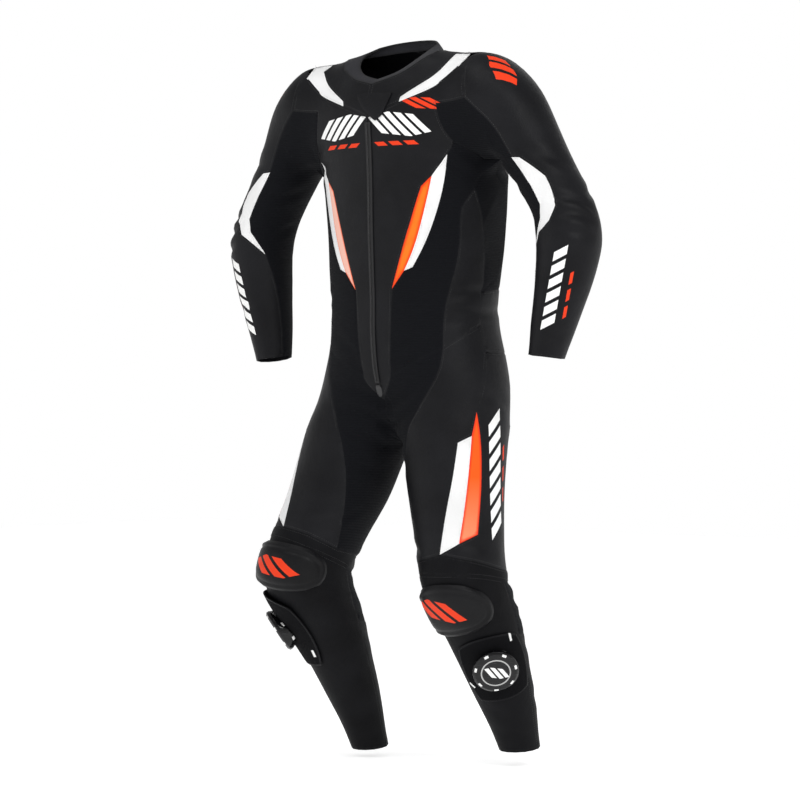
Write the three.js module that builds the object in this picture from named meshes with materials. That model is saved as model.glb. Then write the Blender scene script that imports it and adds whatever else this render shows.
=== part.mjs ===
// One-piece leather race suit, filled out as it is worn, with nobody in it. Millimetres, +Z up,
// front towards -Y, the wearer's left towards +X, origin at the base of the neck between the shoulders.
// A smooth body shape is worked out from tables of horizontal sections. Seams are laid on it, and
// each panel between seams becomes a closed wall of its own, a seam gap away from its neighbours.
import * as THREE from 'three';

// Driving sizes
const seamGap = 0.3;
const leatherWall = 2.0;
const stretchWall = 2.4;
const bandWall = 4.0;
const bandFoot = { spread: 10, drop: 15, sunk: 55 };
const zip = { halfWidth: 6, lift: 0.45, height: 2.4, top: -112, foot: -616, rows: 24 };
const tab = { halfWidth: 8, lift: 0.45, height: 5, rim: 3, top: -620, foot: -642, rounding: 0.6,
  columns: 4, rows: 4 };
const flap = { left: -34, right: 56, leftFoot: -4, rightFoot: 34, z: -46, zFoot: -105, rise: 14,
  lift: 0.45, height: 2.6, columns: 8, rows: 5 };
const pad = { angle: 0, halfAngle: 66, tilt: 0.2, z: { L: -1060, R: -980 },
  halfHeight: { L: 51, R: 47 }, corner: 0.47, lift: 0.95, rim: 3, crown: 11, shoulder: 0.45,
  columns: 12, rows: 8 };
const patchSheet = { angle: 43, halfAngle: 60, tilt: 0.3, z: { L: -1176, R: -1110 },
  halfHeight: { L: 64, R: 72 }, corner: 0.3, lift: 0.7, rim: 2.4, crown: 2.4, shoulder: 1,
  columns: 12, rows: 8 };
const puck = { angle: 38, up: 0, radius: 46, height: 16, chamfer: 5, sides: 24, lift: 4.1 };

// Sections of the trunk, from the shoulders to the seat
const trunkSections = [
  { z: 20, x: 0, y: -40, halfWidth: 120, halfDepth: 62 },
  { z: -20, x: 0, y: -30, halfWidth: 165, halfDepth: 92 },
  { z: -60, x: 0, y: -19, halfWidth: 190, halfDepth: 121 },
  { z: -100, x: 0, y: -14, halfWidth: 197, halfDepth: 135 },
  { z: -150, x: 0, y: -8, halfWidth: 199, halfDepth: 141 },
  { z: -210, x: 0, y: -3, halfWidth: 197, halfDepth: 143 },
  { z: -310, x: 0, y: 0, halfWidth: 187, halfDepth: 144 },
  { z: -400, x: 0, y: -4, halfWidth: 183, halfDepth: 136 },
  { z: -460, x: 0, y: -6, halfWidth: 178, halfDepth: 131 },
  { z: -515, x: 0, y: -4, halfWidth: 178, halfDepth: 133 },
  { z: -570, x: 0, y: 2, halfWidth: 180, halfDepth: 134 },
  { z: -620, x: 0, y: 8, halfWidth: 180, halfDepth: 128 },
  { z: -690, x: 0, y: 12, halfWidth: 140, halfDepth: 92 },
  { z: -715, x: 0, y: 12, halfWidth: 100, halfDepth: 60 },
];
const neckSections = [
  { z: 120, x: 0, y: -58, halfWidth: 76, halfDepth: 60 },
  { z: -100, x: 0, y: -54, halfWidth: 80, halfDepth: 60 },
];
// The collar's edge, by angle from the front
const collarEdge = [
  { angle: 0, x: 0, y: -124, z: -18 },
  { angle: 30, x: 44, y: -114, z: -5 },
  { angle: 60, x: 74, y: -88, z: 22 },
  { angle: 90, x: 84, y: -52, z: 46 },
  { angle: 120, x: 72, y: -18, z: 59 },
  { angle: 150, x: 40, y: 0, z: 66 },
  { angle: 180, x: 0, y: 6, z: 68 },
];
const neckMiddle = -55;
const shoulderBar = { halfSpan: 205, y: -34, z: -70, radius: 84 };

// Sections of the left sleeve, from the shoulder cap to the cuff; the right one is its mirror image
const armSections = [
  { z: 14, x: 215, y: -37, halfWidth: 33, halfDepth: 40 },
  { z: -8, x: 221, y: -37, halfWidth: 65, halfDepth: 66 },
  { z: -40, x: 233, y: -35, halfWidth: 83, halfDepth: 80 },
  { z: -80, x: 251, y: -32, halfWidth: 85, halfDepth: 80 },
  { z: -122, x: 275, y: -29, halfWidth: 81, halfDepth: 76 },
  { z: -160, x: 299, y: -27, halfWidth: 76, halfDepth: 72 },
  { z: -200, x: 325, y: -25, halfWidth: 72, halfDepth: 68 },
  { z: -250, x: 359, y: -23, halfWidth: 68, halfDepth: 66 },
  { z: -300, x: 385, y: -22, halfWidth: 65, halfDepth: 66 },
  { z: -350, x: 394, y: -23, halfWidth: 63, halfDepth: 66 },
  { z: -400, x: 387, y: -25, halfWidth: 59, halfDepth: 62 },
  { z: -450, x: 377, y: -28, halfWidth: 53, halfDepth: 56 },
  { z: -500, x: 364, y: -31, halfWidth: 47, halfDepth: 49 },
  { z: -550, x: 353, y: -34, halfWidth: 39, halfDepth: 41 },
  { z: -575, x: 347, y: -36, halfWidth: 35, halfDepth: 37 },
  { z: -600, x: 342, y: -38, halfWidth: 33, halfDepth: 35 },
];

// Sections of the legs, from the hip to the hem; the right knee is raised and set forward
const legSections = {
  L: [
    { z: -520, x: 79, y: 5, halfWidth: 77, halfDepth: 92 },
    { z: -560, x: 87, y: 6, halfWidth: 88, halfDepth: 104 },
    { z: -600, x: 93, y: 6, halfWidth: 98, halfDepth: 112 },
    { z: -640, x: 96, y: 4, halfWidth: 103, halfDepth: 116 },
    { z: -710, x: 102, y: -6, halfWidth: 103, halfDepth: 112 },
    { z: -780, x: 110, y: -14, halfWidth: 97, halfDepth: 104 },
    { z: -850, x: 118, y: -20, halfWidth: 91, halfDepth: 98 },
    { z: -906, x: 126, y: -24, halfWidth: 88, halfDepth: 93 },
    { z: -962, x: 134, y: -27, halfWidth: 85, halfDepth: 89 },
    { z: -1018, x: 139, y: -18, halfWidth: 84, halfDepth: 94 },
    { z: -1074, x: 141, y: 14, halfWidth: 80, halfDepth: 94 },
    { z: -1130, x: 142, y: 46, halfWidth: 73, halfDepth: 83 },
    { z: -1186, x: 142, y: 76, halfWidth: 66, halfDepth: 75 },
    { z: -1242, x: 142, y: 105, halfWidth: 58, halfDepth: 66 },
    { z: -1298, x: 142, y: 133, halfWidth: 48, halfDepth: 54 },
    { z: -1340, x: 142, y: 150, halfWidth: 42, halfDepth: 46 },
    { z: -1365, x: 142, y: 161, halfWidth: 40, halfDepth: 43 },
    { z: -1395, x: 142, y: 173, halfWidth: 38, halfDepth: 41 },
  ],
  R: [
    { z: -520, x: -79, y: 4, halfWidth: 77, halfDepth: 92 },
    { z: -560, x: -88, y: 3, halfWidth: 90, halfDepth: 103 },
    { z: -600, x: -96, y: 2, halfWidth: 104, halfDepth: 110 },
    { z: -640, x: -102, y: -4, halfWidth: 108, halfDepth: 116 },
    { z: -710, x: -120, y: -29, halfWidth: 106, halfDepth: 114 },
    { z: -780, x: -140, y: -42, halfWidth: 104, halfDepth: 110 },
    { z: -850, x: -158, y: -59, halfWidth: 100, halfDepth: 108 },
    { z: -906, x: -177, y: -80, halfWidth: 95, halfDepth: 104 },
    { z: -962, x: -192, y: -99, halfWidth: 90, halfDepth: 100 },
    { z: -1004, x: -199, y: -107, halfWidth: 87, halfDepth: 97 },
    { z: -1040, x: -203, y: -88, halfWidth: 85, halfDepth: 100 },
    { z: -1074, x: -203, y: -64, halfWidth: 82, halfDepth: 98 },
    { z: -1130, x: -203, y: -28, halfWidth: 74, halfDepth: 84 },
    { z: -1186, x: -202, y: 7, halfWidth: 64, halfDepth: 71 },
    { z: -1242, x: -201, y: 37, halfWidth: 56, halfDepth: 62 },
    { z: -1298, x: -200, y: 66, halfWidth: 46, halfDepth: 51 },
    { z: -1340, x: -199, y: 84, halfWidth: 40, halfDepth: 44 },
    { z: -1365, x: -199, y: 95, halfWidth: 38, halfDepth: 41 },
    { z: -1395, x: -198, y: 108, halfWidth: 36, halfDepth: 39 },
  ],
};

// Squareness of the sections and how softly one form runs into the next, in millimetres
const trunkPower = 2.3;
const limbPower = 2.1;
const blend = { bar: 60, neck: 55, arm: 46, thighs: 30, hip: 40 };

// A section between two rows of a table, on a smooth curve through the rows
function sectionAt(rows, z) {
  const last = rows.length - 1;
  if (z >= rows[0].z) return rows[0];
  if (z <= rows[last].z) return rows[last];
  let i = 0;
  while (z < rows[i + 1].z) i += 1;
  const above = rows[i];
  const below = rows[i + 1];
  const before = rows[Math.max(i - 1, 0)];
  const after = rows[Math.min(i + 2, last)];
  const span = below.z - above.z;
  const t = (z - above.z) / span;
  const section = { z };
  for (const key of ['x', 'y', 'halfWidth', 'halfDepth']) {
    const rise = below[key] - above[key];
    const m0 = i === 0 ? rise : (below[key] - before[key]) * span / (below.z - before.z);
    const m1 = i + 1 === last ? rise : (after[key] - above[key]) * span / (after.z - above.z);
    section[key] = above[key] * (2 * t ** 3 - 3 * t ** 2 + 1) + m0 * (t ** 3 - 2 * t ** 2 + t)
      + below[key] * (3 * t ** 2 - 2 * t ** 3) + m1 * (t ** 3 - t ** 2);
  }
  return section;
}

// How far a point lies outside a stack of sections, negative inside
function stackDistance(rows, power, x, y, z) {
  const ratioAt = (height) => {
    const s = sectionAt(rows, height);
    const u = Math.abs(x - s.x) / s.halfWidth;
    const v = Math.abs(y - s.y) / s.halfDepth;
    return { ratio: (u ** power + v ** power) ** (1 / power), radius: Math.hypot(x - s.x, y - s.y) };
  };
  const probe = 2;
  const level = THREE.MathUtils.clamp(z, rows[rows.length - 1].z, rows[0].z);
  const here = ratioAt(level);
  const taper = (here.ratio - ratioAt(level - probe).ratio) / probe;
  const outward = here.radius > 1e-6 ? here.ratio / here.radius : 1e-2;
  const distance = (here.ratio - 1) / Math.hypot(outward, taper);
  return z === level ? distance : Math.hypot(Math.max(distance, 0), z - level);
}

function softMin(a, b, softness) {
  const h = Math.max(softness - Math.abs(a - b), 0) / softness;
  return Math.min(a, b) - h * h * softness / 4;
}

// The outside of the worn suit: trunk, shoulders, neck, sleeves and legs run softly into each other
function bodyDistance(x, y, z) {
  const hipTop = -500;
  const crotchLow = -760;
  const neckLow = -250;
  let d = stackDistance(trunkSections, trunkPower, x, y, z);
  const past = Math.max(Math.abs(x) - shoulderBar.halfSpan, 0);
  d = softMin(d, Math.hypot(past, y - shoulderBar.y, z - shoulderBar.z) - shoulderBar.radius, blend.bar);
  if (z > neckLow) d = softMin(d, stackDistance(neckSections, limbPower, x, y, z), blend.neck);
  d = softMin(d, stackDistance(armSections, limbPower, Math.abs(x), y, z), blend.arm);
  if (z < hipTop) {
    const left = stackDistance(legSections.L, limbPower, x, y, z);
    const right = stackDistance(legSections.R, limbPower, x, y, z);
    const legs = softMin(left, right, blend.thighs);
    d = z > crotchLow ? softMin(d, legs, blend.hip) : legs;
  }
  return d;
}

const V = (x, y, z) => new THREE.Vector3(x, y, z);

// The first point of the outside on a ray from a point inside
function march(origin, direction, far = 480) {
  const step = 5;
  const p = V(0, 0, 0);
  const outside = (s) => {
    p.copy(direction).multiplyScalar(s).add(origin);
    return bodyDistance(p.x, p.y, p.z) > 0;
  };
  let s = step;
  while (s < far && !outside(s)) s += step;
  let lo = s - step;
  let hi = s;
  for (let i = 0; i < 14; i += 1) {
    const middle = (lo + hi) / 2;
    if (outside(middle)) hi = middle;
    else lo = middle;
  }
  return V(0, 0, 0).copy(direction).multiplyScalar(lo).add(origin);
}

// The point inside from which a region's surface is seen, for a point near that surface
const chestLevel = -222;
const chestRise = 0.44;
const armTopLevel = -70;
const crotch = { top: -640, low: -800, lift: 90, y: 0, z: -560 };
const armhole = { x: 221, y: -33, z: -92, lean: 0.143 };
function insideOf(region, p) {
  const side = p.x > 0 ? 1 : -1;
  if (region === 'neck') return V(0, neckMiddle, p.z - bandFoot.sunk);
  if (region === 'crotch') return V(0, crotch.y, crotch.z);
  if (region === 'hole') return V(side * armhole.x, armhole.y, armhole.z);
  if (region === 'trunk') {
    const z = p.z < chestLevel ? p.z : chestLevel + (p.z - chestLevel) * chestRise;
    return V(0, sectionAt(trunkSections, z).y, z);
  }
  if (region === 'arm') {
    const z = Math.min(p.z, armTopLevel);
    const s = sectionAt(armSections, z);
    return V(side * s.x, s.y, z);
  }
  const near = THREE.MathUtils.clamp((p.z - crotch.low) / (crotch.top - crotch.low), 0, 1);
  const z = p.z - crotch.lift * near;
  const s = sectionAt(legSections[region === 'legR' ? 'R' : 'L'], z);
  return V(s.x, s.y, z);
}
function settle(p) {
  const probe = 1;
  for (let i = 0; i < 12; i += 1) {
    const slope = V(bodyDistance(p.x + probe, p.y, p.z) - bodyDistance(p.x - probe, p.y, p.z),
      bodyDistance(p.x, p.y + probe, p.z) - bodyDistance(p.x, p.y - probe, p.z),
      bodyDistance(p.x, p.y, p.z + probe) - bodyDistance(p.x, p.y, p.z - probe)).divideScalar(2 * probe);
    p.addScaledVector(slope, -bodyDistance(p.x, p.y, p.z) / Math.max(slope.lengthSq(), 0.2));
  }
  return p;
}
function onBody(region, p) {
  if (region === 'nearest') return settle(p.clone());
  const origin = insideOf(region, p);
  return march(origin, p.clone().sub(origin).normalize());
}

// Shared points of the whole surface, and the faces between them with their panel's name
const points = [];
const faces = [];
function addPoint(p) {
  points.push(p);
  return points.length - 1;
}

// Ways to name a place on one side: by angle from the front and height, or near x, y, z
const radians = Math.PI / 180;
const toward = (degrees, side) => V(side * Math.sin(degrees * radians), -Math.cos(degrees * radians), 0);
const round = (degrees, z) => (side) =>
  march(V(0, sectionAt(trunkSections, z).y, z), toward(degrees, side));
const near = (x, y, z) => (side) => onBody('trunk', V(side * x, y, z));
const sleeve = (degrees, z) => (side) => {
  const s = sectionAt(armSections, z);
  return march(V(side * s.x, s.y, z), toward(degrees, side));
};
const leg = (degrees, zLeft, zRight) => (side) => {
  const z = side > 0 ? zLeft : zRight;
  const s = sectionAt(legSections[side > 0 ? 'L' : 'R'], z);
  return march(V(s.x, s.y, z), toward(degrees, side));
};

// The armhole lies in a plane that leans out towards the armpit; angle 0 is the armpit, 90 the front
const hole = (degrees) => (side) => {
  const up = -Math.cos(degrees * radians);
  const forward = -Math.sin(degrees * radians);
  const origin = V(side * armhole.x, armhole.y, armhole.z);
  return march(origin, V(-side * armhole.lean * up, forward, up).normalize());
};

// The collar's edge, and the foot of its band on the body below
const collar = (degrees) => (side) => {
  const { x, y, z } = collarEdge.find(({ angle }) => angle === degrees);
  return V(side * x, y, z);
};
const collarFoot = (degrees) => (side) => {
  const p = collar(degrees)(side);
  const out = V(p.x, p.y - neckMiddle, 0).setLength(bandFoot.spread);
  return onBody('neck', p.add(out).setZ(p.z - bandFoot.drop));
};

// Seams of one side: named places, lines of shared points through them, and panels between lines
class Pattern {
  constructor(side, shared) {
    this.side = side;
    this.letter = side > 0 ? 'L' : 'R';
    this.places = { ...shared?.places };
    this.lines = { ...shared?.lines };
  }

  regionName(region) {
    return region === 'leg' ? `leg${this.letter}` : region;
  }

  place(table) {
    for (const [name, where] of Object.entries(table)) this.places[name] = addPoint(where(this.side));
  }

  // A line in equal steps between two places, by way of the stops given
  line([name, region, stops, count]) {
    const kind = this.regionName(region);
    const ends = [this.places[stops[0]], this.places[stops[stops.length - 1]]];
    const knots = stops.map((stop) => (typeof stop === 'string'
      ? points[this.places[stop]].clone() : stop(this.side)));
    const curve = knots.length > 2 ? new THREE.CatmullRomCurve3(knots, false, 'chordal')
      : new THREE.LineCurve3(knots[0], knots[1]);
    const row = [ends[0]];
    for (let i = 1; i < count; i += 1) {
      const p = curve.getPointAt(i / count);
      row.push(addPoint(kind === 'free' ? p : onBody(kind, p)));
    }
    row.push(ends[1]);
    this.lines[name] = row;
  }

  // Lines joined end to end; a minus turns one round, and an equals sign stands for one place
  chain(names) {
    let row = [];
    for (const name of names) {
      let part = this.lines[name.replace('-', '')];
      if (name.startsWith('=')) part = [this.places[name.slice(1)]];
      if (name.startsWith('-')) part = [...part].reverse();
      row = row.concat(row.length ? part.slice(1) : part);
    }
    return row;
  }

  // A panel's area between its front, rear, top and foot chains, which may differ in their counts
  panel([name, region, front, rear, top, foot]) {
    const kind = this.regionName(region);
    const sides = [this.chain(front), this.chain(rear)];
    const caps = [this.chain(top), this.chain(foot)];
    const along = (row, u) => {
      const at = u * (row.length - 1);
      const i = Math.floor(at);
      const next = row[Math.min(i + 1, row.length - 1)];
      return points[row[i]].clone().lerp(points[next], at - i);
    };
    const count = Math.max(sides[0].length, sides[1].length) - 1;
    const rows = [caps[0]];
    for (let i = 1; i < count; i += 1) {
      const v = i / count;
      const [start, end] = sides.map((side) => side[Math.round(v * (side.length - 1))]);
      const [startAt, endAt] = sides.map((side) => along(side, v));
      const width = Math.max(1, Math.round((caps[0].length - 1) * (1 - v) + (caps[1].length - 1) * v));
      const row = [start];
      for (let j = 1; j < width; j += 1) {
        const u = j / width;
        const p = startAt.clone().lerp(endAt, u).add(along(caps[0], u).lerp(along(caps[1], u), v));
        const [upper, lower] = caps.map((cap) =>
          points[cap[0]].clone().lerp(points[cap[cap.length - 1]], u));
        p.sub(upper.lerp(lower, v));
        row.push(addPoint(kind === 'free' ? p : onBody(kind, p)));
      }
      row.push(end);
      rows.push(row);
    }
    rows.push(caps[1]);
    for (let i = 0; i < count; i += 1) this.strip(name, rows[i], rows[i + 1]);
  }

  // Faces between an upper and a lower row of points
  strip(name, upper, lower) {
    const panel = name.endsWith('_') ? name + this.letter : name;
    const add = (...corners) => {
      const ring = corners.filter((corner, i) => corners.indexOf(corner) === i);
      if (ring.length > 2) faces.push({ panel, ring: this.side > 0 ? ring : ring.reverse() });
    };
    let a = 0;
    let b = 0;
    while (a < upper.length - 1 || b < lower.length - 1) {
      const reachA = a < upper.length - 1 ? (a + 1) / (upper.length - 1) : 2;
      const reachB = b < lower.length - 1 ? (b + 1) / (lower.length - 1) : 2;
      if (Math.abs(reachA - reachB) < 1e-6) {
        add(upper[a], lower[b], lower[b + 1], upper[a + 1]);
        a += 1;
        b += 1;
      } else if (reachA < reachB) {
        add(upper[a], lower[b], upper[a + 1]);
        a += 1;
      } else {
        add(upper[a], lower[b], lower[b + 1]);
        b += 1;
      }
    }
  }
}

// Places and lines on the middle of the suit, which both sides share
const middlePlaces = {
  neckFront: collar(0), neckBack: collar(180), bandFront: collarFoot(0),
  bandBack: collarFoot(180), yokeFront: near(0, -150, -98), chestFront: near(0, -151, -150),
  ribFront: round(0, -222), bellyFront: round(0, -433), tipFront: near(0, -118, -652),
  yokeBack: near(0, 105, -72), bladeBack: round(180, -300), loinBack: round(180, -440),
  crotchBack: round(180, -676), crotchLow: () => onBody('crotch', V(0, 0, -900)),
};
const middleLines = [
  ['frontBand', 'free', ['neckFront', 'bandFront'], 1],
  ['frontYoke', 'trunk', ['bandFront', 'yokeFront'], 3],
  ['frontChest', 'trunk', ['yokeFront', 'chestFront'], 2],
  ['frontRib', 'trunk', ['chestFront', 'ribFront'], 3],
  ['frontBelly', 'trunk', ['ribFront', 'bellyFront'], 7],
  ['frontTip', 'trunk', ['bellyFront', 'tipFront'], 8],
  ['backBand', 'free', ['neckBack', 'bandBack'], 1], ['backYoke', 'trunk', ['bandBack', 'yokeBack'], 4],
  ['backBlade', 'trunk', ['yokeBack', 'bladeBack'], 11],
  ['backLoin', 'trunk', ['bladeBack', 'loinBack'], 6], ['backSeat', 'trunk', ['loinBack', 'crotchBack'], 11],
  ['crotchFront', 'crotch', ['tipFront', 'crotchLow'], 6],
  ['crotchRear', 'crotch', ['crotchLow', 'crotchBack'], 6],
];

// Places of each side. Heights on the legs are given for the left and for the right one
const sidePlaces = {
  stripeTip: near(70, -143, -70), stripeTipUp: near(72, -141, -60), stripeBend: near(124, -132, -50),
  stripeBendUp: near(120, -125, -30), stripeEnd: near(192, -80, 18), stripeEndUp: near(158, -74, 26),
  armpit: hole(0), holeFront: hole(104), holeTop: hole(180), holeBack: hole(325),
  stretchTop: near(150, -129, -75), stretchNotch: near(174, -100, -152), whiteTop: near(160, -104, -173),
  orangeTop: round(42, -234), whiteInner: round(49, -214), whiteFoot: round(30, -398),
  whiteHeel: round(36.5, -391), orangeFoot: round(19.5, -433), flankTop: round(75, -237),
  flankFold: round(65, -393), flankHip: round(56, -549), wedgeFoot: round(86.5, -438),
  flankBack: round(85, -503), sideHip: round(85, -556), middleHip: round(14.5, -606),
  loinSide: round(124, -428), seatSide: round(138, -556),
  inFold: leg(-24, -733, -733), whiteUp: leg(41, -733, -716), whiteUpBack: leg(56, -720, -704),
  orangeUp: leg(61, -673, -668), innerBand: leg(-70, -965, -946), whiteDown: leg(11, -950, -902),
  whiteDownBack: leg(37, -929, -884), orangeDown: leg(62, -911, -866), foldSide: leg(140, -705, -705),
  backLow: leg(145, -925, -905), backOfBand: leg(145, -985, -960), innerBack: leg(215, -988, -968),
  footOfBand: leg(215, -1012, -1000), kneeInner: leg(-105, -1004, -985), kneeOuter: leg(105, -1003, -962),
  calfInner: leg(-105, -1110, -1095), calfOuter: leg(105, -1110, -1095),
  hemInner: leg(-105, -1349, -1364), hemOuter: leg(105, -1349, -1364),
  stripeStart: sleeve(-7, -186), stripeStartOut: sleeve(8, -187), stripeStop: sleeve(-50, -352),
  cuffFront: sleeve(-76, -560), backUpper: sleeve(220, -222), backElbow: sleeve(220, -352),
  cuffBack: sleeve(220, -562),
};

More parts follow.
